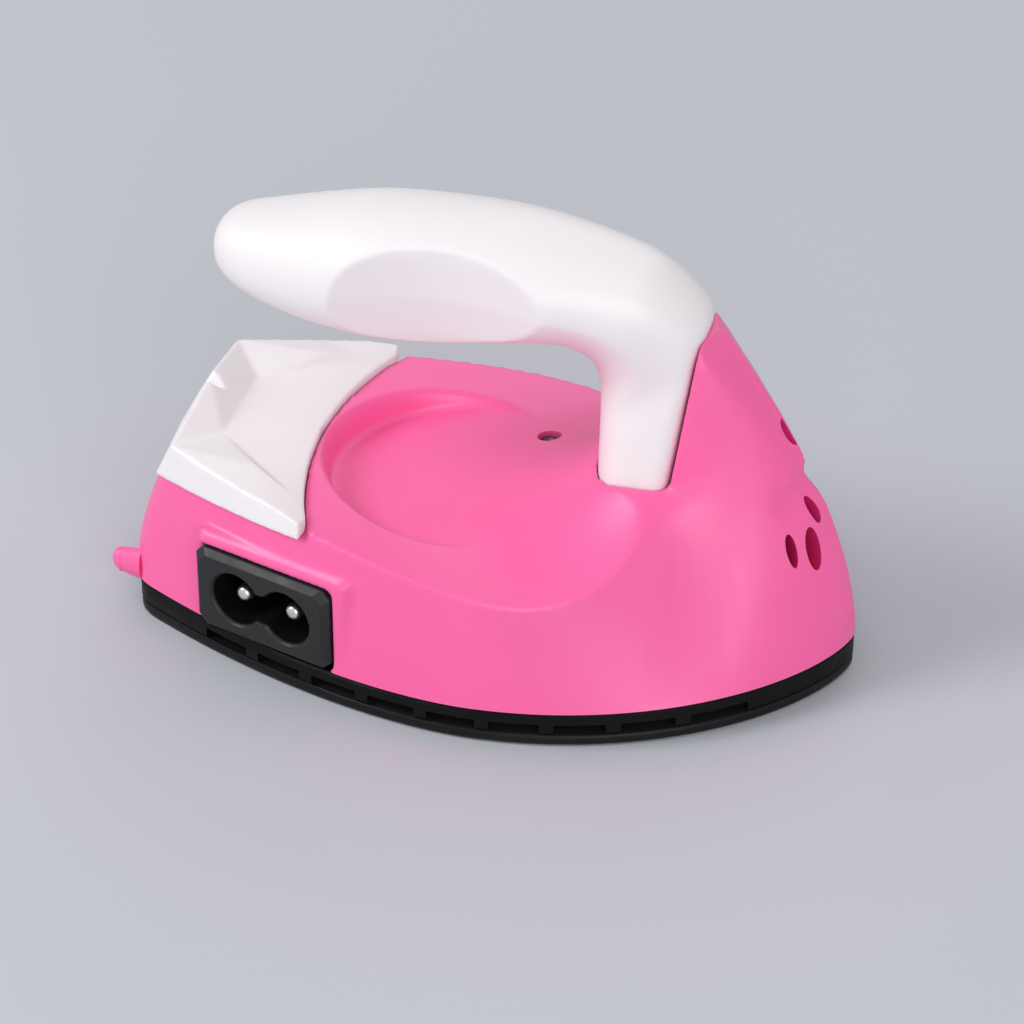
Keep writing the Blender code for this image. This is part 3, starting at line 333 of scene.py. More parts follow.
@dataclass(frozen=True)
class Finish:
    """A surface: what it is made of, and how its colour, gloss and grain vary."""

    name: str
    colour: str
    shade: str
    rough_low: float
    rough_high: float
    ior: float = 1.5
    metallic: float = 0.0
    mottle_mm: float = 18.0
    grain_mm: float = 0.6
    grain_depth_mm: float = 0.01
    stretch: Point = (1.0, 1.0, 1.0)
    specular: float = 0.5

    def material(self) -> bpy.types.Material:
        """Return this finish's material, made once.

        Returns:
            The node material.
        """
        found = bpy.data.materials.get(self.name)
        if found:
            return found
        made = bpy.data.materials.new(self.name)
        made.use_nodes = True
        tree = made.node_tree
        shader = tree.nodes["Principled BSDF"]
        shader.inputs["IOR"].default_value = self.ior if not self.metallic else 1.5
        shader.inputs["Metallic"].default_value = self.metallic
        shader.inputs["Specular IOR Level"].default_value = self.specular
        place = add_node(tree, "ShaderNodeTexCoord").outputs["Object"]
        place = add_node(tree, "ShaderNodeMapping", {"Vector": place}, Scale=self.stretch).outputs["Vector"]
        self.paint(tree, shader, place)
        self.roughen(tree, shader, place)
        return made

    def paint(self, tree: bpy.types.NodeTree, shader: bpy.types.Node, place: bpy.types.NodeSocket) -> None:
        """Vary the colour softly between the base colour and its shade.

        Args:
            tree: The material's node tree.
            shader: The surface shader.
            place: The pattern's coordinates.
        """
        cloud = add_node(tree, "ShaderNodeTexNoise", {"Vector": place}, Scale=per_metre(self.mottle_mm),
                         Detail=3.0, Roughness=0.55)
        mix = add_node(tree, "ShaderNodeValToRGB", {"Fac": cloud.outputs["Fac"]})
        mix.color_ramp.elements[0].position = 0.3
        mix.color_ramp.elements[1].position = 0.7
        mix.color_ramp.elements[0].color = linear(self.shade)
        mix.color_ramp.elements[1].color = linear(self.colour)
        tree.links.new(mix.outputs["Color"], shader.inputs["Base Color"])

    def roughen(self, tree: bpy.types.NodeTree, shader: bpy.types.Node, place: bpy.types.NodeSocket) -> None:
        """Vary the gloss, and raise the fine grain of the surface.

        Args:
            tree: The material's node tree.
            shader: The surface shader.
            place: The pattern's coordinates.
        """
        haze = add_node(tree, "ShaderNodeTexNoise", {"Vector": place}, Scale=per_metre(self.mottle_mm * 0.4),
                        Detail=4.0, Roughness=0.6)
        gloss = add_node(tree, "ShaderNodeMapRange", {"Value": haze.outputs["Fac"]}, From_Min=0.3,
                         From_Max=0.7, To_Min=self.rough_low, To_Max=self.rough_high)
        tree.links.new(gloss.outputs["Result"], shader.inputs["Roughness"])
        height = self.grain(tree, place)
        bump = add_node(tree, "ShaderNodeBump", {"Height": height}, Strength=1.0,
                        Distance=self.grain_depth_mm * MM)
        tree.links.new(bump.outputs["Normal"], shader.inputs["Normal"])

    def grain(self, tree: bpy.types.NodeTree, place: bpy.types.NodeSocket) -> bpy.types.NodeSocket:
        """Return the height of the fine grain.

        Args:
            tree: The material's node tree.
            place: The pattern's coordinates.

        Returns:
            A socket from 0 to 1.
        """
        return add_node(tree, "ShaderNodeTexNoise", {"Vector": place}, Scale=per_metre(self.grain_mm),
                        Detail=2.0, Roughness=0.5).outputs["Fac"]


@dataclass(frozen=True)
class Scuffed(Finish):
    """A moulded or coated surface with small paler worn marks."""

    worn: str = "#909090"
    wear: float = 0.25

    def paint(self, tree: bpy.types.NodeTree, shader: bpy.types.Node, place: bpy.types.NodeSocket) -> None:
        """Vary the colour, and lighten it in small broken marks.

        Args:
            tree: The material's node tree.
            shader: The surface shader.
            place: The pattern's coordinates.
        """
        super().paint(tree, shader, place)
        base = shader.inputs["Base Color"].links[0].from_socket
        marks = add_node(tree, "ShaderNodeTexNoise", {"Vector": place}, Scale=per_metre(3.2), Detail=6.0,
                         Roughness=0.75)
        spots = add_node(tree, "ShaderNodeMapRange", {"Value": marks.outputs["Fac"]}, From_Min=0.64,
                         From_Max=0.74, To_Min=0.0, To_Max=self.wear)
        mix = add_node(tree, "ShaderNodeMix", {"Factor": spots.outputs["Result"]}, data_type="RGBA")
        colours = [socket for socket in mix.inputs if socket.type == "RGBA"]
        tree.links.new(base, colours[0])
        colours[1].default_value = linear(self.worn)
        result = [socket for socket in mix.outputs if socket.type == "RGBA"][0]
        tree.links.new(result, shader.inputs["Base Color"])


@dataclass(frozen=True)
class Sleeve(Finish):
    """A woven glass-fibre sleeve."""

    def grain(self, tree: bpy.types.NodeTree, place: bpy.types.NodeSocket) -> bpy.types.NodeSocket:
        """Return the height of the crossing threads.

        Args:
            tree: The material's node tree.
            place: The pattern's coordinates.

        Returns:
            A socket from 0 to 1.
        """
        over = add_node(tree, "ShaderNodeTexWave", {"Vector": place}, Scale=per_metre(self.grain_mm) / 6.28,
                        bands_direction="DIAGONAL")
        under = add_node(tree, "ShaderNodeTexWave", {"Vector": place}, Scale=per_metre(self.grain_mm) / 6.28,
                         bands_direction="Z")
        return add_node(tree, "ShaderNodeMath", {0: over.outputs["Fac"], 1: under.outputs["Fac"]},
                        operation="MAXIMUM").outputs["Value"]


@dataclass(frozen=True)
class Lens(Finish):
    """A clear tinted moulding that lets some light through."""

    def roughen(self, tree: bpy.types.NodeTree, shader: bpy.types.Node, place: bpy.types.NodeSocket) -> None:
        """Let light through, then vary the gloss as on any finish.

        Args:
            tree: The material's node tree.
            shader: The surface shader.
            place: The pattern's coordinates.
        """
        shader.inputs["Transmission Weight"].default_value = 0.5
        super().roughen(tree, shader, place)


# ABS, injection moulded in a polished tool: a satin gloss that softens highlights
PINK_ABS = Finish("moulded_pink_abs", "#fd68a9", "#fa62a4", 0.34, 0.42, 1.53, 0.0, 26.0, 0.5, 0.004)
# The same ABS on the vents' walls, where the tool's pins shut them off: a duller, unpolished gloss, and a
# deeper, darker pink that is painted shade
PINK_ABS_VENT_SHADE = Finish("unpolished_pink_abs_painted_shade", "#e22f7c", "#d6276f", 0.6, 0.75, 1.53, 0.0, 6.0, 0.5, 0.01,
                      specular=0.2)
# The same ABS in white, from the same kind of tool
WHITE_ABS = Finish("moulded_white_abs", "#f1edef", "#eee9eb", 0.32, 0.42, 1.53, 0.0, 30.0, 0.5, 0.004)
# Glass-filled nylon: a dry, slightly pitted black with pale scuffs
BLACK_NYLON = Scuffed("moulded_black_nylon", "#0b0b0c", "#09090a", 0.42, 0.6, 1.53, 0.0, 9.0, 0.35, 0.02,
                      specular=0.14, worn="#2c2c2d", wear=0.3)
# Phenolic socket moulding: dark grey and evenly matt
SOCKET_PHENOLIC = Finish("moulded_dark_grey_phenolic", "#232325", "#1e1e20", 0.4, 0.52, 1.58, 0.0, 7.0, 0.3,
                         0.012, specular=0.3)
# The faces deep in the sockets: the same phenolic, painted near-black as shade, and rougher as unpolished
SOCKET_PAINTED_SHADE = Finish("phenolic_painted_socket_shade", "#070707", "#050505", 0.7, 0.85, 1.58, 0.0, 7.0, 0.3,
                        0.012, specular=0.1)
# Cast aluminium under a baked non-stick coat: dark, with fine orange peel
COATED_SOLE = Scuffed("baked_nonstick_coat", "#1b1b1c", "#151516", 0.3, 0.45, 1.4, 0.0, 12.0, 0.9, 0.012,
                      specular=0.25, worn="#48484a", wear=0.3)
# Brass pins under bright nickel
NICKEL_PLATE = Finish("bright_nickel_plate", "#f4f2ee", "#e6e4e0", 0.28, 0.36, 1.5, 1.0, 4.0, 0.3, 0.002)
# Zinc-plated steel: paler and cloudier than nickel
ZINC_STEEL = Finish("zinc_plated_steel", "#c4c6ca", "#adb0b6", 0.26, 0.4, 1.5, 1.0, 2.5, 0.25, 0.004)
# Spring steel strip, rolled: fine lines along its length
ROLLED_STEEL = Finish("rolled_spring_steel", "#b4b4b2", "#9c9c9a", 0.25, 0.4, 1.5, 1.0, 6.0, 0.4, 0.006,
                      stretch=(8.0, 0.4, 8.0))
# Extruded aluminium: drawn lines along X
EXTRUDED_ALUMINIUM = Finish("extruded_aluminium", "#cbcccf", "#b9babd", 0.3, 0.42, 1.5, 1.0, 8.0, 0.4, 0.008,
                            stretch=(0.2, 6.0, 6.0))
# Steatite, fired and unglazed: chalky and off-white
FIRED_STEATITE = Finish("fired_steatite", "#e4dfd2", "#d7d1c2", 0.65, 0.8, 1.56, 0.0, 3.0, 0.3, 0.02)
# Mica sheet: golden flakes pressed flat
PRESSED_MICA = Finish("pressed_mica", "#b79a62", "#8d7444", 0.3, 0.55, 1.58, 0.0, 2.2, 0.8, 0.015)
# Epoxy glass board under green lacquer
LACQUERED_BOARD = Finish("lacquered_glass_epoxy", "#1f6b3a", "#195c31", 0.3, 0.4, 1.55, 0.0, 4.0, 0.3, 0.01)
# Glass-fibre sleeve, woven: cream threads about 0.5 mm apart
WOVEN_SLEEVE = Sleeve("woven_glass_sleeve", "#ddd6c4", "#c9c1ad", 0.6, 0.75, 1.5, 0.0, 3.0, 0.5, 0.05)
# Tinted polycarbonate: clear red-brown
TINTED_LENS = Lens("tinted_polycarbonate", "#5c1712", "#45100d", 0.08, 0.16, 1.58, 0.0, 2.0, 0.3, 0.001)


def dress(piece: bpy.types.Object, finish: Finish, slot: str, *nodes: str) -> bpy.types.Object:
    """Finish a new piece, let it ride on the press and stand for its CAD nodes.

    Args:
        piece: The finished mesh.
        finish: Its surface.
        slot: The record's material slot that it belongs to; not used.
        *nodes: The CAD nodes that it replaces.

    Returns:
        The same object.
    """
    piece.data.materials.clear()
    piece.data.materials.append(finish.material())
    layer = piece.data.attributes.get("slot")
    if layer:
        piece.data.attributes.remove(layer)
    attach(piece, BODY)
    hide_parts(*nodes)
    log.info("%s: %d faces, %s", piece.name, len(piece.data.polygons), finish.name)
    return piece


# The press

@dataclass
class Form:
    """The outer form that the body, the cover and the base share."""

    nose: float = 53.9
    rear: float = -51.0
    half_width: float = 31.5
    widest: float = 4.0
    foot: float = 5.6
    nose_fullness: float = 0.66
    rear_taper: float = 0.63
    rear_curve: float = 1.7
    rear_corner: float = 80.0
    rear_lean: float = 0.17
    rear_bulge_z: float = 10.5
    side_lean: float = 0.09
    sweep: float = 0.02415
    sweep_curve: float = 1.75
    post_z: float = 31.0
    post_rear: float = 16.6
    post_front: float = 28.0
    post_half: float = 8.9
    post_top_half: float = 5.8
    post_lean: float = 0.143
    top: float = 55.0
    flank_start: float = 4.0
    flank_span: float = 34.0
    flank_power: float = 1.4
    flank_gain: float = 0.8
    flank_reach: float = 12.0
    shoulder_rise: float = 13.0
    shoulder_reach: float = 14.0
    fin_curve: float = 2.2
    fin_fullness: float = 0.6
    dent_z: float = 31.2
    dent_depth: float = 1.25
    dent_droop: float = 0.4
    dent_above: float = 2.8
    dent_below: float = 4.5
    dent_half: float = 4.8
    dent_fade: float = 2.2

    def dent(self, y: float, z: float) -> float:
        """Return the depth of the shallow scoop over the vents, along X.

        Args:
            y: The place across the nose.
            z: The height.

        Returns:
            The depth, which fades out to the sides, upwards and downwards.
        """
        lift = z - self.dent_z + self.dent_droop * abs(y)
        tall = 1.0 - ease(lift / self.dent_above if lift > 0.0 else -lift / self.dent_below)
        return self.dent_depth * tall * (1.0 - ease((abs(y) - self.dent_half) / self.dent_fade))

    def nose_side(self, y: float, z: float) -> float:
        """Find where the nose's skin stands, by halving.

        Args:
            y: The place across the nose.
            z: The height.

        Returns:
            The place along the press.
        """
        low, high = self.post_front, self.nose_at(z)
        for _ in range(24):
            middle = (low + high) / 2.0
            if self.half_at(middle, z) > abs(y):
                low = middle
            else:
                high = middle
        return low - self.dent(y, z)

    def nose_way(self, y: float, z: float) -> Point:
        """Find the direction square to the nose's skin, pointing out.

        Args:
            y: The place across the nose.
            z: The height.

        Returns:
            A direction of length one.
        """
        across = (self.nose_side(y + 0.3, z) - self.nose_side(y - 0.3, z)) / 0.6
        upward = (self.nose_side(y, z + 0.3) - self.nose_side(y, z - 0.3)) / 0.6
        way = Vector((1.0, -across, -upward)).normalized()
        return (way.x, way.y, way.z)

    def nose_at(self, z: float) -> float:
        """Return where the nose line stands at a height."""
        return self.nose - self.sweep * max(0.0, z - self.foot) ** self.sweep_curve

    def rear_at(self, z: float) -> float:
        """Return where the rear wall stands at a height."""
        return self.rear + self.rear_lean * max(0.0, z - self.rear_bulge_z) ** 1.25

    def leaf(self, x: float, rear: float, nose: float) -> float:
        """Return the half width of the leaf outline.

        Args:
            x: The place along the press.
            rear: The rear end at this height.
            nose: The nose at this height.

        Returns:
            The half width.
        """
        if x >= self.widest:
            share = min(1.0, (x - self.widest) / (nose - self.widest))
            return self.half_width * (1.0 - share ** 2) ** self.nose_fullness
        taper = (self.widest - x) / (self.widest - self.rear)
        share = min(1.0, (self.widest - x) / (self.widest - rear))
        corner = math.sqrt(1.0 - share ** self.rear_corner)
        return self.half_width * (1.0 - self.rear_taper * max(0.0, taper) ** self.rear_curve) * corner

    def post_front_at(self, z: float) -> float:
        """Return where the post meets the fin at a height."""
        return self.post_front + self.post_lean * (z - self.post_z)

    def post_half_at(self, z: float) -> float:
        """Return the post's half width at a height."""
        share = (z - self.post_z) / (self.top - self.post_z)
        return self.post_half + (self.post_top_half - self.post_half) * share

    def fin(self, x: float, z: float) -> float:
        """Return the fin's half width.

        Args:
            x: The place along the press.
            z: The height.

        Returns:
            Half its width there.
        """
        start = self.post_front_at(z)
        share = min(1.0, max(0.0, (x - start) / (self.nose_at(z) - start)))
        return self.post_half_at(z) * (1.0 - share ** self.fin_curve) ** self.fin_fullness

    def half_at(self, x: float, z: float) -> float:
        """Blend the upright leaf walls into the fin as the height grows.

        Args:
            x: The place along the press.
            z: The height.

        Returns:
            The body's half width there.
        """
        rise = z - self.foot
        wide = self.leaf(x, self.rear_at(z), self.nose_at(z)) - self.side_lean * rise
        ahead = max(0.0, x - self.post_front)
        swept = min(1.0, max(0.0, (x - self.flank_start) / self.flank_span))
        power = self.flank_power * swept ** 2.5 + self.flank_gain * ease(ahead / self.flank_reach)
        shoulder = self.post_z + self.shoulder_rise * ease(ahead / self.shoulder_reach)
        left = max(0.0, 1.0 - rise / (shoulder - self.foot))
        thin = self.fin(x, z)
        if wide <= thin or z >= shoulder:
            return max(0.0, min(wide, thin))
        return thin + (wide - thin) * left ** power

    def outline(self, z: float, inset: float, count: int) -> Ring:
        """Return one level of the body's skin.

        Args:
            z: The height of the level.
            inset: How far it is drawn in.
            count: The number of steps along each side.

        Returns:
            The ring of points.
        """
        rear, nose = self.rear_at(z), self.nose_at(z)
        shrink = (nose - rear - 2.2 * inset) / (nose - rear)
        middle = (rear + nose) / 2.0
        shares = [(1.0 - math.cos(math.pi * i / count)) / 2.0 for i in range(1, count)]
        side = []
        for share in shares:
            x = rear + (nose - rear) * share
            y = max(0.15, self.half_at(x, z) - inset)
            pressed = self.dent(y, z) if x > self.post_front else 0.0
            side.append((middle + (x - middle) * shrink - pressed, y))
        tip = middle + (nose - middle) * shrink - self.dent(0.0, z)
        return mirrored(middle + (rear - middle) * shrink, side, tip, z)

    def flat_outline(self, z: float, inset: float, count: int) -> Ring:
        """Return one level of the base's skin.

        Args:
            z: The height of the level.
            inset: How far it is drawn in.
            count: The number of steps along each side.

        Returns:
            The ring of points.
        """
        rear, nose = self.rear + inset, self.nose - inset
        scale = (self.half_width - inset) / self.half_width
        shares = [(1.0 - math.cos(math.pi * i / count)) / 2.0 for i in range(1, count)]
        xs = [rear + (nose - rear) * share for share in shares]
        side = [(x, scale * self.leaf(x, rear, nose)) for x in xs]
        return mirrored(rear, side, nose, z)


@dataclass
class Base:
    """The dark sole and the slotted ring above it."""

    form: Form
    sole_top: float = 1.9
    ring_low: float = 2.2
    ring_high: float = 5.3
    ring_width: float = 6.0
    window_high: float = 3.7
    window_deep: float = 3.2
    window_count: int = 9
    window_rib: float = 2.0
    window_rear: float = -38.0
    window_nose: float = 43.0

    def make_sole(self) -> None:
        """Make the coated sole, with a rounded lower edge."""
        edges = ((0.0, 1.0), (0.12, 0.62), (0.45, 0.3), (0.8, 0.2), (self.sole_top - 0.25, 0.2),
                 (self.sole_top, 0.45))
        sole = skin("coated_soleplate", [self.form.flat_outline(z, inset, 72) for z, inset in edges])
        smooth(sole, 50.0)
        dress(sole, COATED_SOLE, "coated_sole", "soleplate")

    def make_ring(self) -> None:
        """Make the ring: a plain rim over a row of low windows."""
        form = self.form
        edges = ((self.ring_low, 0.3), (self.ring_low + 0.15, 0.15), (self.ring_high - 0.35, 0.15),
                 (self.ring_high, 0.5))
        ring = skin("slotted_base_ring", [form.flat_outline(z, inset, 72) for z, inset in edges])
        inner = [form.flat_outline(z, self.ring_width, 48) for z in (0.0, 10.0)]
        work_in(ring, skin("ring_bore", inner))
        pitch = (self.window_nose - self.window_rear) / self.window_count
        windows = []
        for number in range(self.window_count):
            start = self.window_rear + pitch * number + self.window_rib / 2.0
            xs = steps(start, start + pitch - self.window_rib, 4)
            for side in (-1.0, 1.0):
                edge = [(x, form.leaf(x, form.rear, form.nose)) for x in xs]
                outer = [(x, side * (y + 1.0)) for x, y in edge]
                inside = [(x, side * (y - self.window_deep)) for x, y in reversed(edge)]
                windows.append(prism("window", outer + inside, 1.0, self.window_high))
        work_in(ring, gather(windows))
        smooth(ring, 35.0)
        dress(ring, BLACK_NYLON, "black_plastic", "base_ring")


@dataclass
class Body:
    """The pink body: leaf-shaped walls, a dished deck and a fin behind the nose."""

    form: Form
    deck_z: float = 23.6
    deck_rise: float = 0.155
    mound_reach: float = 36.5
    mound_rear: float = 34.5
    mound_curve: float = 2.1
    dish_x: float = -4.2
    dish_radius: float = 20.2
    dish_depth: float = 4.6
    dish_front: float = 6.0
    dish_roll: float = 1.3
    ledge_z: float = 25.0
    arc_x: float = 36.9
    arc_radius: float = 61.5
    wall: float = 2.2
    ceiling: float = 21.4
    lamp: tuple[float, float] = (5.9, 12.0)
    lamp_radius: float = 1.5
    lamp_gap: float = 0.3
    # Each vent: its place across, height, half width, half height and tilt
    vents: tuple = ((0.0, 37.7, 1.0, 2.0, 0.0), (2.3, 27.0, 0.75, 1.9, 8.0),
                    (4.6, 22.0, 0.9, 3.2, 10.0), (6.9, 22.6, 0.5, 2.5, 10.0))
    vent_depth: float = 5.0
    vent_skin: float = 0.45
    # The heights and half width of the zone where the vent walls get painted shade
    vent_zone: tuple[float, float, float] = (17.0, 41.0, 9.5)
    nub_y: float = -11.0
    fin_top: float = 52.7

    def share(self, x: float, y: float) -> float:
        """Return the mound's share of the rise to the post's foot, from 0 to 1."""
        away = math.hypot((self.form.post_front - x) / self.mound_rear, y / self.mound_reach)
        return min(1.0, max(0.0, 1.5 * (1.0 - away))) ** self.mound_curve

    def deck(self, x: float, y: float, base: float | None = None) -> float:
        """Return the height of the deck or, over another base, of the dish's floor.

        Args:
            x: The place along the press.
            y: The place across it.
            base: The height that the mound rises from, where it isn't the plain deck.

        Returns:
            The height.
        """
        low = self.deck_z - self.deck_rise * x if base is None else base
        return low + (self.form.post_z - low) * self.share(x, y)

    def deck_cutter(self) -> bpy.types.Object:
        """Make the block that is cut away above the deck.

        Returns:
            A grid bent to the deck, extruded up.
        """
        form = self.form
        high = form.top + 20.0
        bpy.ops.object.select_all(action="DESELECT")
        bpy.ops.mesh.primitive_grid_add(x_subdivisions=80, y_subdivisions=72, size=2.0 * MM)
        cutter = bpy.context.object
        cutter.name = "deck_cutter"
        low_x, wide = form.rear - 6.0, 33.0
        span = form.post_front - low_x
        bpy.ops.object.mode_set(mode="EDIT")
        grid = bmesh.from_edit_mesh(cutter.data)
        for corner in grid.verts:
            x = low_x + span * (corner.co.x / MM + 1.0) / 2.0
            y = wide * corner.co.y / MM
            corner.co = (x * MM, y * MM, self.deck(x, y) * MM)
        bpy.ops.mesh.extrude_region_move()
        grid = bmesh.from_edit_mesh(cutter.data)
        for corner in grid.verts:
            if corner.select:
                x = corner.co.x / MM
                shift = form.post_lean * (high - form.post_z) if x > form.post_front - 0.01 else 0.0
                corner.co.x = (x + shift) * MM
                corner.co.z = high * MM
        bpy.ops.mesh.select_all(action="SELECT")
        bpy.ops.mesh.normals_make_consistent(inside=False)
        bpy.ops.object.mode_set(mode="OBJECT")
        return cutter

    def dish_floor(self, x: float) -> float:
        """Return the height of the dish's floor, which meets the deck towards the nose.

        Args:
            x: The place along the press.

        Returns:
            The height, with the mound left out.
        """
        reach = self.dish_front - self.dish_x + self.dish_radius
        sunk = self.dish_depth * ease((self.dish_front - x) / reach)
        return self.deck_z - self.deck_rise * x - sunk + 0.04

    def dish_cutter(self) -> bpy.types.Object:
        """Make the cutter for the round dish, whose rim rolls over onto the deck.

        Returns:
            Rings from the middle of the floor out to the rim, closed far above.
        """
        radius, roll = self.dish_radius, self.dish_roll
        profile = [((radius - roll) * s, 0.0) for s in (0.1, 0.3, 0.5, 0.7, 0.85, 1.0)]
        for i in range(1, 9):
            angle = math.pi / 2.0 * i / 8
            profile.append((radius - roll * math.cos(angle), math.sin(angle)))
        rings = []
        for size, share in profile:
            ring = []
            for a, b in ellipse(size, size, 120):
                x, y = self.dish_x + a, b
                low, high = self.deck(x, y, self.dish_floor(x)), self.deck(x, y) + 0.03
                ring.append((x, y, low + max(0.0, high - low) * share))
            rings.append(ring)
        rings.append([(self.dish_x + x, y, 40.0) for x, y in ellipse(radius, radius, 120)])
        return skin("dish_cutter", rings)

    def arc_plan(self, radius: float) -> list[tuple[float, float]]:
        """Return the plan of all that lies behind the cover's arc.

        Args:
            radius: The arc's radius.

        Returns:
            The plan's points in X and Y.
        """
        half = math.asin(38.0 / radius)
        arc = []
        for i in range(49):
            angle = math.pi - half + 2.0 * half * i / 48
            arc.append((self.arc_x + radius * math.cos(angle), radius * math.sin(angle)))
        far = self.form.rear - 6.0
        return arc + [(far, arc[-1][1]), (far, arc[0][1])]

    def make(self, inlet: "Inlet", handle: "Handle") -> None:
        """Make the body.

        Args:
            inlet: The inlet whose surround and seat the body carries.
            handle: The handle whose foot stands in the body.
        """
        form = self.form
        levels = [form.foot - 1.6] + steps(6.2, 24.0, 10) + steps(25.0, 35.0, 12)
        levels += steps(37.0, self.fin_top, 9)
        body = skin("moulded_body", [form.outline(z, 0.0, 64) for z in levels])
        work_in(body, self.deck_cutter())
        work_in(body, self.dish_cutter())
        plan = self.arc_plan(self.arc_radius)
        work_in(body, prism("ledge_cutter", plan, self.ledge_z, 60.0))
        work_in(body, inlet.surround(), Join.WELD)
        for tool in inlet.ways():
            work_in(body, tool)
        work_in(body, handle.pocket_cutter())
        mould(body, 0.4, 10)
        apply_step(body, "DECIMATE", ratio=0.5)
        for tool in inlet.ways():
            work_in(body, tool)
        work_in(body, rod("foot_trim", 80.0, (0.0, 0.0), 0.0, form.foot))
        self.add_vents(body)
        self.add_nub(body)
        work_in(body, rod("lamp_hole", self.lamp_radius + self.lamp_gap, self.lamp, 15.0, 30.0))
        self.hollow(body)
        smooth(body, 40.0)
        dress(body, PINK_ABS, "pink_plastic", "body_shell")
        # The vent walls get a darker pink: painted shade
        self.paint_vent_shade(body)

    def add_vents(self, body: bpy.types.Object) -> None:
        """Sink the slanted oval vents: one over the nose line and three down each side.

        Args:
            body: The solid body.
        """
        form = self.form
        tools = []
        for y, z, half_wide, half_tall, tilt in self.vents:
            for side in (-1.0, 1.0) if y else (1.0,):
                lean = side * math.radians(tilt)
                places = []
                for a, b in ellipse(half_wide, half_tall, 36):
                    places.append((side * y + a * math.cos(lean) - b * math.sin(lean),
                                   z + b * math.cos(lean) + a * math.sin(lean)))
                way = form.nose_way(side * y, z)
                rings = []
                for out in (-self.vent_depth, 4.0):
                    rings.append([(form.nose_side(p, q) + out * way[0], p + out * way[1],
                                   q + out * way[2]) for p, q in places])
                tools.append(skin("vent", rings))
        work_in(body, gather(tools))

    def paint_vent_shade(self, body: bpy.types.Object) -> None:
        """Give the walls of the vents their own finish: a deeper, darker pink as painted shade, and a duller,
        unpolished gloss.

        Args:
            body: The finished body.
        """
        # A deeper, darker pink as painted shade on the vent walls, with a duller gloss
        body.data.materials.append(PINK_ABS_VENT_SHADE.material())
        low, high, wide = self.vent_zone
        for face in body.data.polygons:
            x, y, z = face.center / MM
            if low < z < high and abs(y) < wide and x > self.form.post_front + 10.0:
                deep = self.form.nose_side(y, z) - x
                if self.vent_skin < deep < self.vent_depth + 2.0 and face.normal.x < 0.9:
                    face.material_index = 1

    def add_nub(self, body: bpy.types.Object) -> None:
        """Add the small ribbed tab low on the rear wall.

        Args:
            body: The solid body.
        """
        rear = self.form.rear
        # Each section: its place off the wall, half its width, half its height and its middle's height
        shapes = [((1.6, 1.6, 2.5, 7.3), (-0.6, 1.5, 2.1, 7.6), (-1.8, 1.4, 1.8, 7.8),
                   (-2.4, 1.1, 1.4, 7.9), (-2.8, 0.5, 0.7, 7.9))]
        for x in (-0.7, -1.5):
            shapes.append(((x + 0.4, 1.2, 1.6, 7.7), (x + 0.1, 1.5, 1.98, 7.7),
                           (x - 0.1, 1.5, 1.96, 7.7), (x - 0.4, 1.2, 1.6, 7.7)))
        for shape in shapes:
            rings = []
            for x, wide, tall, z in shape:
                rings.append([(rear + x, self.nub_y + a, z + b) for a, b in ellipse(wide, tall, 32)])
            work_in(body, skin("nub", rings), Join.WELD)

    def hollow(self, body: bpy.types.Object) -> None:
        """Open the body from below.

        Args:
            body: The moulded body, still solid.
        """
        form = self.form
        inner = skin("hollow", [form.outline(z, self.wall, 32) for z in
                                [form.foot - 2.0, 12.0, 18.0, 24.0, form.post_z, 38.0, 45.0, form.top - 3.0]])
        front = form.post_front
        under = self.deck_z - self.deck_rise * front - 2.2
        rise = form.top + 10.0
        profile = [(form.rear - 5.0, self.ceiling), (2.0, self.ceiling), (front, under),
                   (front + 2.2, under), (front + 3.4, form.post_z),
                   (form.post_front_at(rise) + 3.4, rise), (form.rear - 5.0, rise)]
        work_in(inner, skin("ceiling", [[(x, y, z) for x, z in profile] for y in (-45.0, 45.0)]))
        rings = []
        for z in steps(14.0, 46.0, 8):
            back = form.nose_at(z) - 13.0
            rings.append([(back, -14.0, z), (back + 24.0, -14.0, z), (back + 24.0, 14.0, z),
                          (back, 14.0, z)])
        work_in(inner, skin("vent_backing", rings))
        work_in(body, inner)


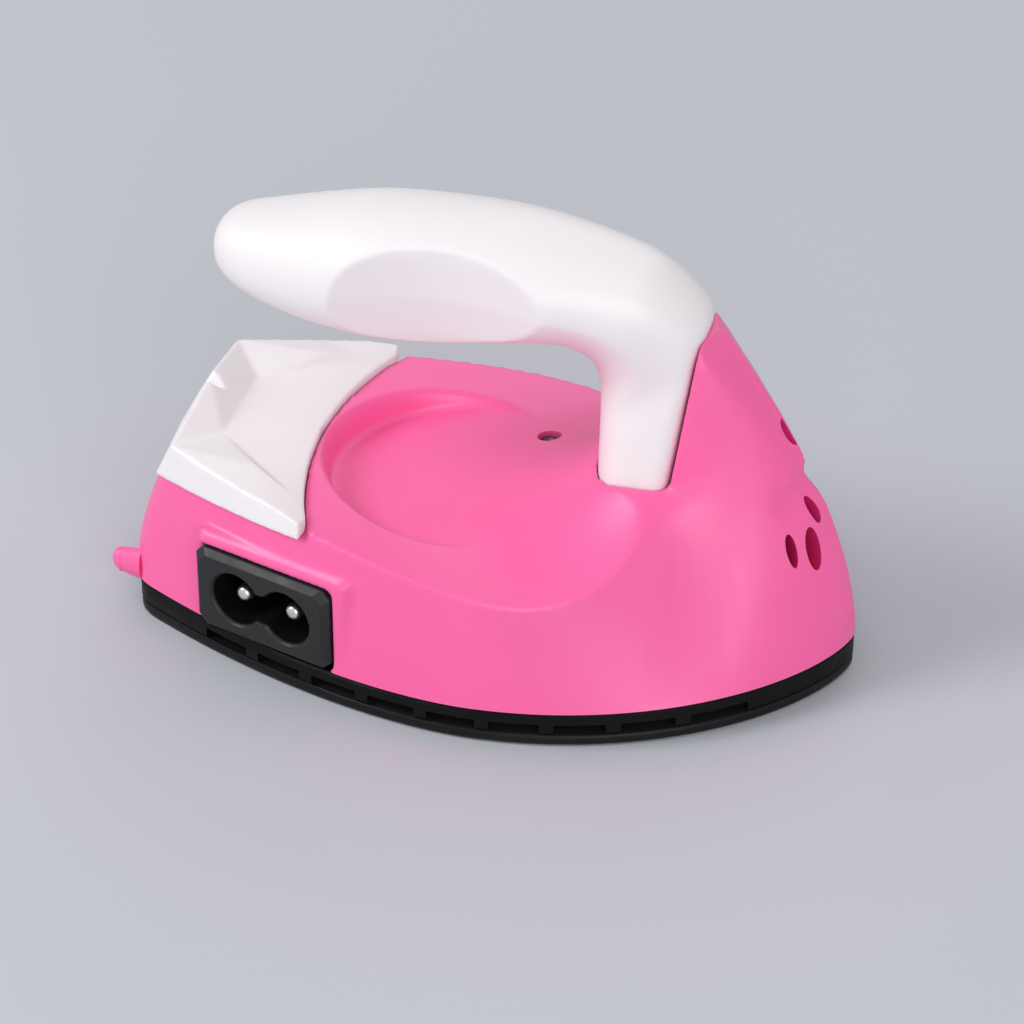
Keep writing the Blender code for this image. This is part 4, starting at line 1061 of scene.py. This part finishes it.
@dataclass
class Inlet:
    """The dark two-pin mains inlet, turned to follow the side wall."""

    x: float = -27.0
    y: float = -24.9
    z: float = 12.2
    turn: float = 19.0
    width: float = 23.2
    height: float = 13.2
    flange: float = 5.0
    surround_low: float = -6.59
    surround_top: float = 2.4
    surround_side: float = 1.5
    neck: tuple[float, float] = (19.4, 10.6)
    depth: float = 13.0
    socket_radius: float = 4.1
    waist: float = 4.8
    socket_depth: float = 10.0
    pin_spacing: float = 8.6
    pin_radius: float = 1.2
    pin_setback: float = 1.6
    pin_tail: float = 4.0

    def at(self, along: float, out: float, up: float) -> Point:
        """Turn a place on the inlet's face into the press's coordinates.

        Args:
            along: The place along the face, from its middle.
            out: How far it stands out from the face.
            up: The place up the face, from its middle.

        Returns:
            The same place in X, Y and Z.
        """
        turn = math.radians(self.turn)
        return (self.x + along * math.cos(turn) - out * math.sin(turn),
                self.y - along * math.sin(turn) - out * math.cos(turn), self.z + up)

    def block(self, name: str, half: tuple[float, float], reach: tuple, chamfer: float = 0.0,
              middle: tuple[float, float] = (0.0, 0.0)) -> bpy.types.Object:
        """Make a block square to the inlet's face.

        Args:
            name: The new object's name.
            half: Half its width and half its height.
            reach: Pairs of how far out each section stands and how far it is drawn in.
            chamfer: How much is cut off its four corners.
            middle: Its middle on the face.

        Returns:
            The closed block.
        """
        rings = []
        for out, inset in reach:
            a, h = half[0] - inset, half[1] - inset
            c = max(0.02, chamfer)
            corners = [(a, h - c), (a - c, h), (c - a, h), (-a, h - c), (-a, c - h), (c - a, -h),
                       (a - c, -h), (a, c - h)]
            rings.append([self.at(middle[0] + along, out, middle[1] + up) for along, up in corners])
        return skin(name, rings)

    def bar(self, name: str, along: float, stops: tuple) -> bpy.types.Object:
        """Make a round bar square to the face, from pairs of reach and radius."""
        return skin(name, [[self.at(along + a, out, b) for a, b in ellipse(r, r, 40)] for out, r in stops])

    def surround(self) -> bpy.types.Object:
        """Make the raised frame that the inlet stands in, with a sloped top edge.

        Returns:
            The closed block.
        """
        low, high = self.surround_low, self.height / 2.0 + self.surround_top
        half = (self.width / 2.0 + self.surround_side, (high - low) / 2.0)
        reach = ((-8.0, 0.0), (-1.7, 0.0), (-0.9, 0.7))
        return self.block("surround", half, reach, 0.6, (self.surround_side, (low + high) / 2.0))

    def ways(self) -> list[bpy.types.Object]:
        """Make the cutters for the inlet's seat and for its way into the body.

        Returns:
            The two cutters.
        """
        gap = 0.25
        seat = self.block("seat", (self.width / 2.0 + gap, self.height / 2.0 + gap),
                          ((-self.flange - gap, 0.0), (3.0, 0.0)), 0.7)
        way = self.block("way", (self.neck[0] / 2.0 + gap, self.neck[1] / 2.0 + gap),
                         ((-16.0, 0.0), (3.1, 0.0)), 0.7)
        return [seat, way]

    def make(self) -> None:
        """Make the inlet's body and its two pins."""
        half = (self.width / 2.0, self.height / 2.0)
        reach = ((-self.flange, 0.0), (-1.0, 0.0), (0.0, 0.95))
        body = self.block("moulded_inlet", half, reach, 1.3)
        neck = (self.neck[0] / 2.0, self.neck[1] / 2.0)
        work_in(body, self.block("neck", neck, ((-self.depth, 0.0), (-1.0, 0.0)), 0.8), Join.WELD)
        spread = self.pin_spacing / 2.0
        for along in (-spread, spread):
            bore = self.socket_radius
            stops = ((-self.socket_depth, bore), (-0.5, bore), (0.0, bore + 0.35), (1.0, bore + 1.2))
            work_in(body, self.bar("socket", along, stops))
        reach = ((-self.socket_depth, 0.0), (2.0, 0.0))
        work_in(body, self.block("waist", (spread, self.waist / 2.0), reach))
        mould(body, 0.17, 3)
        for name, along in (("left", -spread), ("right", spread)):
            radius = self.pin_radius
            back = -self.depth - self.pin_tail
            stops = [(back, radius * 0.8), (back + 0.3, radius)]
            front = -self.pin_setback
            for i in range(7):
                angle = math.pi / 2.0 * i / 6
                stops.append((front - 0.9 + 0.9 * math.sin(angle),
                              max(0.12, radius * math.cos(angle) ** 0.7)))
            pin = self.bar(f"plated_pin_{name}", along, tuple(stops))
            smooth(pin, 40.0)
            dress(pin, NICKEL_PLATE, "plated_metal", f"inlet_pin_{name}")
            hole = self.bar("pin_hole", along, ((-self.depth - 2.0, radius + 0.25), (-2.0, radius + 0.25)))
            work_in(body, hole)
        smooth(body, 40.0)
        dress(body, SOCKET_PHENOLIC, "black_plastic", "inlet_body")
        # The faces deep in the sockets get near-black painted shade
        self.paint_socket_shade(body)

    def paint_socket_shade(self, body: bpy.types.Object) -> None:
        """Give the faces deep in the sockets their own finish: near-black as painted shade, and a rougher,
        unpolished gloss.

        Args:
            body: The finished inlet body.
        """
        # Near-black painted shade for the faces deep in the sockets, with a rougher gloss
        body.data.materials.append(SOCKET_PAINTED_SHADE.material())
        turn = math.radians(self.turn)
        for face in body.data.polygons:
            x, y, z = face.center / MM
            along = (x - self.x) * math.cos(turn) - (y - self.y) * math.sin(turn)
            out = -(x - self.x) * math.sin(turn) - (y - self.y) * math.cos(turn)
            wide = self.pin_spacing / 2.0 + self.socket_radius + 0.3
            if out < -0.6 and abs(along) < wide and abs(z - self.z) < self.socket_radius + 0.3:
                face.material_index = 1


@dataclass
class RearCover:
    """The white cover behind the dish: raised wings round a sunk fan, front flush with the deck."""

    body: Body
    grid_mm: float = 0.3
    rounds: int = 10
    rim: tuple[float, float] = (-41.5, 34.5)
    notch: tuple[float, float] = (2.2, 2.6)
    front_gap: float = 0.12
    front_step: float = 0.75
    front_slope: float = 0.36
    front_blend: float = 1.6

    def make(self) -> None:
        """Round off the cover's own facets as a mould does, and nick its apex."""
        source = frame["nodes"]["rear_cover"]
        cover = source.copy()
        cover.data = source.data.copy()
        cover.name = "moulded_rear_cover"
        bpy.context.scene.collection.objects.link(cover)
        pick(cover)
        bpy.ops.object.mode_set(mode="EDIT")
        bpy.ops.mesh.select_all(action="SELECT")
        bpy.ops.mesh.remove_doubles(threshold=0.001 * MM)
        bpy.ops.mesh.normals_make_consistent(inside=False)
        bpy.ops.object.mode_set(mode="OBJECT")
        work_in(cover, self.notch_cutter())
        plan = self.body.arc_plan(self.body.arc_radius + self.front_gap)
        work_in(cover, prism("behind_arc", plan, 10.0, 60.0), Join.KEEP)
        mould(cover, self.grid_mm, self.rounds)
        self.settle(cover)
        apply_step(cover, "DECIMATE", ratio=0.6)
        dress(cover, WHITE_ABS, "white_plastic", "rear_cover")

    def settle(self, cover: bpy.types.Object) -> None:
        """Bring the cover's front down to the deck, so that its arc edge ends flush with the dish's rim.

        Args:
            cover: The moulded cover.
        """
        body = self.body
        for corner in cover.data.vertices:
            x, y, z = corner.co / MM
            behind = max(0.0, math.hypot(x - body.arc_x, y) - body.arc_radius)
            most = body.deck(x, y) + self.front_step + self.front_slope * behind
            near = max(0.0, self.front_blend - abs(z - most)) / self.front_blend
            corner.co.z = (min(z, most) - near * near * self.front_blend / 4.0) * MM

    def notch_cutter(self) -> bpy.types.Object:
        """Make the small wedge that nicks the middle of the rear rim.

        Returns:
            The cutter.
        """
        x, z = self.rim
        half, deep = self.notch
        wedge = [(x, -half, z + 0.4), (x, half, z + 0.4), (x, 0.0, z - deep)]
        return skin("notch_cutter", [[(px + out, y, pz) for px, y, pz in wedge] for out in (-4.0, 2.0)])


@dataclass
class Handle:
    """The white grip and post, moulded in two halves that meet without a visible seam."""

    form: Form
    # Each grip section: its middle in X and Z, half its height, half its breadth, how full it is below
    grip: tuple = (
        (-39.4, 57.1, 0.5, 0.6, 2.2), (-39.2, 57.1, 1.6, 2.0, 2.2), (-38.6, 57.0, 3.1, 3.8, 2.2),
        (-37.4, 56.9, 4.4, 5.4, 2.2), (-35.2, 56.7, 5.65, 6.95, 2.2), (-31.5, 56.3, 6.8, 8.4, 2.2),
        (-24.5, 56.2, 8.35, 10.2, 2.2), (-16.0, 56.4, 9.5, 11.7, 2.2), (-7.0, 56.6, 9.6, 12.3, 2.2),
        (2.0, 57.0, 9.0, 12.0, 1.9), (9.5, 56.5, 8.8, 11.2, 1.45),
    )
    # Each bend section: its lower end, its upper end, half its breadth, how full it is below
    bend: tuple = ((12.4, 46.9, 18.3, 63.6, 9.9, 1.35), (14.9, 45.6, 25.3, 61.1, 9.1, 1.45),
                   (16.1, 43.0, 31.4, 55.3, 7.9, 1.8))
    # Each level of the post: its height at the rear and at the front
    levels: tuple = ((39.5, 48.5), (36.3, 42.5), (33.5, 36.5), (31.0, 31.0), (26.1, 26.1))
    pocket: float = 5.2
    fit: float = 0.1
    recess_x: float = -4.8
    recess_radius: float = 34.5
    recess_lean: tuple = ((42.0, 4.2), (50.0, 6.4), (56.0, 7.6), (62.0, 8.2), (72.0, 8.6))

    def section(self, middle: tuple[float, float], up: tuple[float, float], tall: float, wide: float,
                under: float, count: int = 48) -> Ring:
        """Return one section of the grip.

        Args:
            middle: Its middle in X and Z.
            up: The direction of its height in X and Z.
            tall: Half its height.
            wide: Half its breadth.
            under: How full its lower half is: 2 is round, and less leaves a ridge along its side.
            count: The number of points.

        Returns:
            The ring of points.
        """
        ring = []
        for i in range(count):
            angle = 2.0 * math.pi * (i + 0.5) / count
            sine, cosine = math.sin(angle), math.cos(angle)
            power = 2.0 / (2.25 if sine > 0.0 else under)
            rise = math.copysign(abs(sine) ** power, sine) * tall
            aside = math.copysign(abs(cosine) ** power, cosine) * wide
            ring.append((middle[0] + up[0] * rise, aside, middle[1] + up[1] * rise))
        return ring

    def post_section(self, low: float, high: float, inset: float = 0.0, count: int = 48) -> Ring:
        """Return one section of the post, flat at the front and round at the rear.

        Args:
            low: Its height at the rear.
            high: Its height at the front.
            inset: How far it is drawn in.
            count: The number of points.

        Returns:
            The ring of points.
        """
        form = self.form
        front = form.post_front_at(max(high, form.post_z)) - self.fit - inset
        rear = form.post_rear + inset
        width = form.post_half_at(max((low + high) / 2.0, form.post_z)) - inset
        half = (front - rear) / 2.0
        ring = []
        for i in range(count):
            angle = 2.0 * math.pi * (i + 0.5) / count
            rise, aside = math.sin(angle), math.cos(angle)
            along = math.copysign(abs(rise) ** (0.3 if rise > 0.0 else 0.8), rise) * half
            across = math.copysign(abs(aside) ** (0.45 if rise > 0.0 else 0.75), aside) * width
            z = low + (high - low) * (along + half) / (2.0 * half)
            ring.append(((front + rear) / 2.0 + along, across, z))
        return ring

    def rings(self) -> list[Ring]:
        """Return the sections from the grip's tip down to the post's foot, smoothed in between.

        Returns:
            Evenly eased rings along the whole handle.
        """
        keys = [self.section((x, z), (0.0, 1.0), tall, wide, under) for x, z, tall, wide, under in self.grip]
        for low_x, low_z, top_x, top_z, wide, under in self.bend:
            length = math.hypot(top_x - low_x, top_z - low_z)
            up = ((top_x - low_x) / length, (top_z - low_z) / length)
            middle = ((low_x + top_x) / 2.0, (low_z + top_z) / 2.0)
            keys.append(self.section(middle, up, length / 2.0, wide, under))
        keys += [self.post_section(low, high) for low, high in self.levels]
        return blend_rings(keys, 5)

    def pocket_cutter(self) -> bpy.types.Object:
        """Make the cutter for the pocket that the post's foot stands in.

        Returns:
            The cutter.
        """
        floor = self.form.post_z
        plan = [(x, y) for x, y, _ in self.post_section(floor, floor, -self.fit)]
        return prism("pocket", plan, floor - self.pocket, floor + 0.7)

    def make(self) -> None:
        """Make the handle, with a finger recess in each side."""
        handle = skin("moulded_handle", self.rings())
        for side in (-1.0, 1.0):
            work_in(handle, self.recess_cutter(side))
        mould(handle, 0.36, 6)
        dress(handle, WHITE_ABS, "white_plastic", "handle_left", "handle_right")

    def recess_cutter(self, side: float) -> bpy.types.Object:
        """Return the upright barrel that cuts one finger recess.

        Args:
            side: 1 for the far side and -1 for the near side.

        Returns:
            The cutter.
        """
        radius = self.recess_radius
        rings = []
        for z, depth in self.recess_lean:
            middle = side * (depth + radius)
            rings.append([(self.recess_x + a, middle + b, z) for a, b in ellipse(radius, radius, 200)])
        return skin("recess", rings)


def blend_rings(keys: list[Ring], per_span: int) -> list[Ring]:
    """Fill in rings between the key rings on smooth curves.

    Args:
        keys: The key rings, all with the same number of points.
        per_span: How many rings each span gets.

    Returns:
        The longer list of rings, ends included.
    """
    rings = []
    last = len(keys) - 1
    for i in range(last):
        before, start = keys[max(0, i - 1)], keys[i]
        end, after = keys[i + 1], keys[min(last, i + 2)]
        for step in range(per_span):
            t = step / per_span
            ring = []
            for p0, p1, p2, p3 in zip(before, start, end, after):
                point = []
                for a, b, c, d in zip(p0, p1, p2, p3):
                    curve = 2.0 * b + (c - a) * t + (2.0 * a - 5.0 * b + 4.0 * c - d) * t * t
                    point.append(0.5 * (curve + (3.0 * b - a - 3.0 * c + d) * t ** 3))
                ring.append(tuple(point))
            rings.append(ring)
    return rings + [keys[last]]


@dataclass
class Indicator:
    """The small tinted lens in the deck."""

    body: Body

    def make(self) -> None:
        """Make the domed lens."""
        x0, y0 = self.body.lamp
        top = self.body.deck(x0, y0) - 0.55
        radius = self.body.lamp_radius
        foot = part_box("indicator_lens")[0].z / MM
        rings = []
        for z, share in ((foot, 0.9), (foot + 0.3, 1.0), (top - 0.9, 1.0), (top - 0.35, 0.86),
                         (top - 0.1, 0.55), (top, 0.2)):
            rings.append([(x0 + a, y0 + b, z) for a, b in ellipse(radius * share, radius * share, 32)])
        lens = skin("tinted_lens", rings)
        smooth(lens, 50.0)
        dress(lens, TINTED_LENS, "lens", "indicator_lens")


@dataclass
class Inside:
    """The inner pieces, which keep their solids and get their own finishes."""

    finishes: dict[str, Finish] = field(default_factory=lambda: {
        "heater_case": EXTRUDED_ALUMINIUM, "spring_steel": ROLLED_STEEL, "plated_metal": NICKEL_PLATE,
        "mica": PRESSED_MICA, "ceramic": FIRED_STEATITE, "wire_sleeve": WOVEN_SLEEVE,
        "screw_steel": ZINC_STEEL,
        "circuit_board": LACQUERED_BOARD, "lens": TINTED_LENS, "black_plastic": BLACK_NYLON,
        "pink_plastic": PINK_ABS, "white_plastic": WHITE_ABS, "coated_sole": COATED_SOLE,
    })

    def dress(self) -> None:
        """Give every carried-over node the finish of its slot."""
        slots = {part["node"]: part["material_slot"] for part in frame["record"]["subparts"]}
        for name, node in frame["nodes"].items():
            finish = self.finishes[slots[name]]
            node.data.materials.clear()
            node.data.materials.append(finish.material())
        log.info("carried over: %d nodes", len(frame["nodes"]))


@dataclass
class Studio:
    """The pale floor, the soft lamps and the camera at the photograph's angle."""

    azimuth: float = 14.5
    elevation: float = 33.0
    target: Point = (0.00336, 0.0, 0.01797)
    distance: float = 0.5434
    lens: float = 132.99

    def make_floor(self) -> None:
        """Make a flat floor."""
        bpy.ops.object.select_all(action="DESELECT")
        bpy.ops.mesh.primitive_plane_add(size=3.0, location=(0.0, 0.0, 0.0))
        floor = bpy.context.object
        floor.name = "studio_floor"
        bpy.ops.object.transform_apply(location=True, rotation=True, scale=True)
        paper = Finish("matt_studio_paper", "#c3c6cd", "#c0c3ca", 0.85, 0.95, 1.45, 0.0, 300.0, 2.0, 0.01)
        floor.data.materials.append(paper.material())

    def lamp(self, name: str, place: Point, size: float, power: float) -> None:
        """Add one soft square lamp that points at the press.

        Args:
            name: The lamp's name.
            place: Where it hangs.
            size: The length of its side.
            power: Its power in watts.
        """
        light = bpy.data.lights.new(name, "AREA")
        light.size = size
        light.energy = power
        holder = bpy.data.objects.new(name, light)
        bpy.context.scene.collection.objects.link(holder)
        holder.location = place
        towards = Vector((0.0, 0.0, 0.025)) - Vector(place)
        holder.rotation_euler = towards.to_track_quat("-Z", "Y").to_euler()

    def make(self) -> None:
        """Set up the floor, the world, the lamps and the camera."""
        self.make_floor()
        world = bpy.data.worlds.new("studio")
        bpy.context.scene.world = world
        world.use_nodes = True
        world.node_tree.nodes["Background"].inputs["Color"].default_value = linear("#f2f2f4")
        world.node_tree.nodes["Background"].inputs["Strength"].default_value = 0.64
        self.lamp("key_softbox", (-0.72, -0.3, 0.66), 0.4, 4.4)
        self.lamp("front_softbox", (0.45, -0.9, 0.4), 0.7, 4.1)
        self.lamp("back_softbox", (0.1, 0.8, 0.6), 0.6, 1.0)
        camera = bpy.data.objects.new("camera", bpy.data.cameras.new("camera"))
        bpy.context.scene.collection.objects.link(camera)
        turn, rise = math.radians(self.azimuth), math.radians(self.elevation)
        back = Vector((math.sin(turn) * math.cos(rise), -math.cos(turn) * math.cos(rise), math.sin(rise)))
        camera.location = Vector(self.target) + back * self.distance
        camera.rotation_euler = back.to_track_quat("Z", "Y").to_euler()
        camera.data.sensor_width = 36.0
        camera.data.lens = self.lens
        camera.data.clip_start = 0.01
        bpy.context.scene.camera = camera
        bpy.context.scene.view_settings.view_transform = "Standard"


def main() -> None:
    """Build and dress the whole press, in order."""
    Inside().dress()
    form = Form()
    inlet = Inlet()
    handle = Handle(form)
    body = Body(form)
    base = Base(form)
    base.make_sole()
    base.make_ring()
    body.make(inlet, handle)
    inlet.make()
    RearCover(body).make()
    handle.make()
    Indicator(body).make()
    Studio().make()


if __name__ == "__main__":
    main()
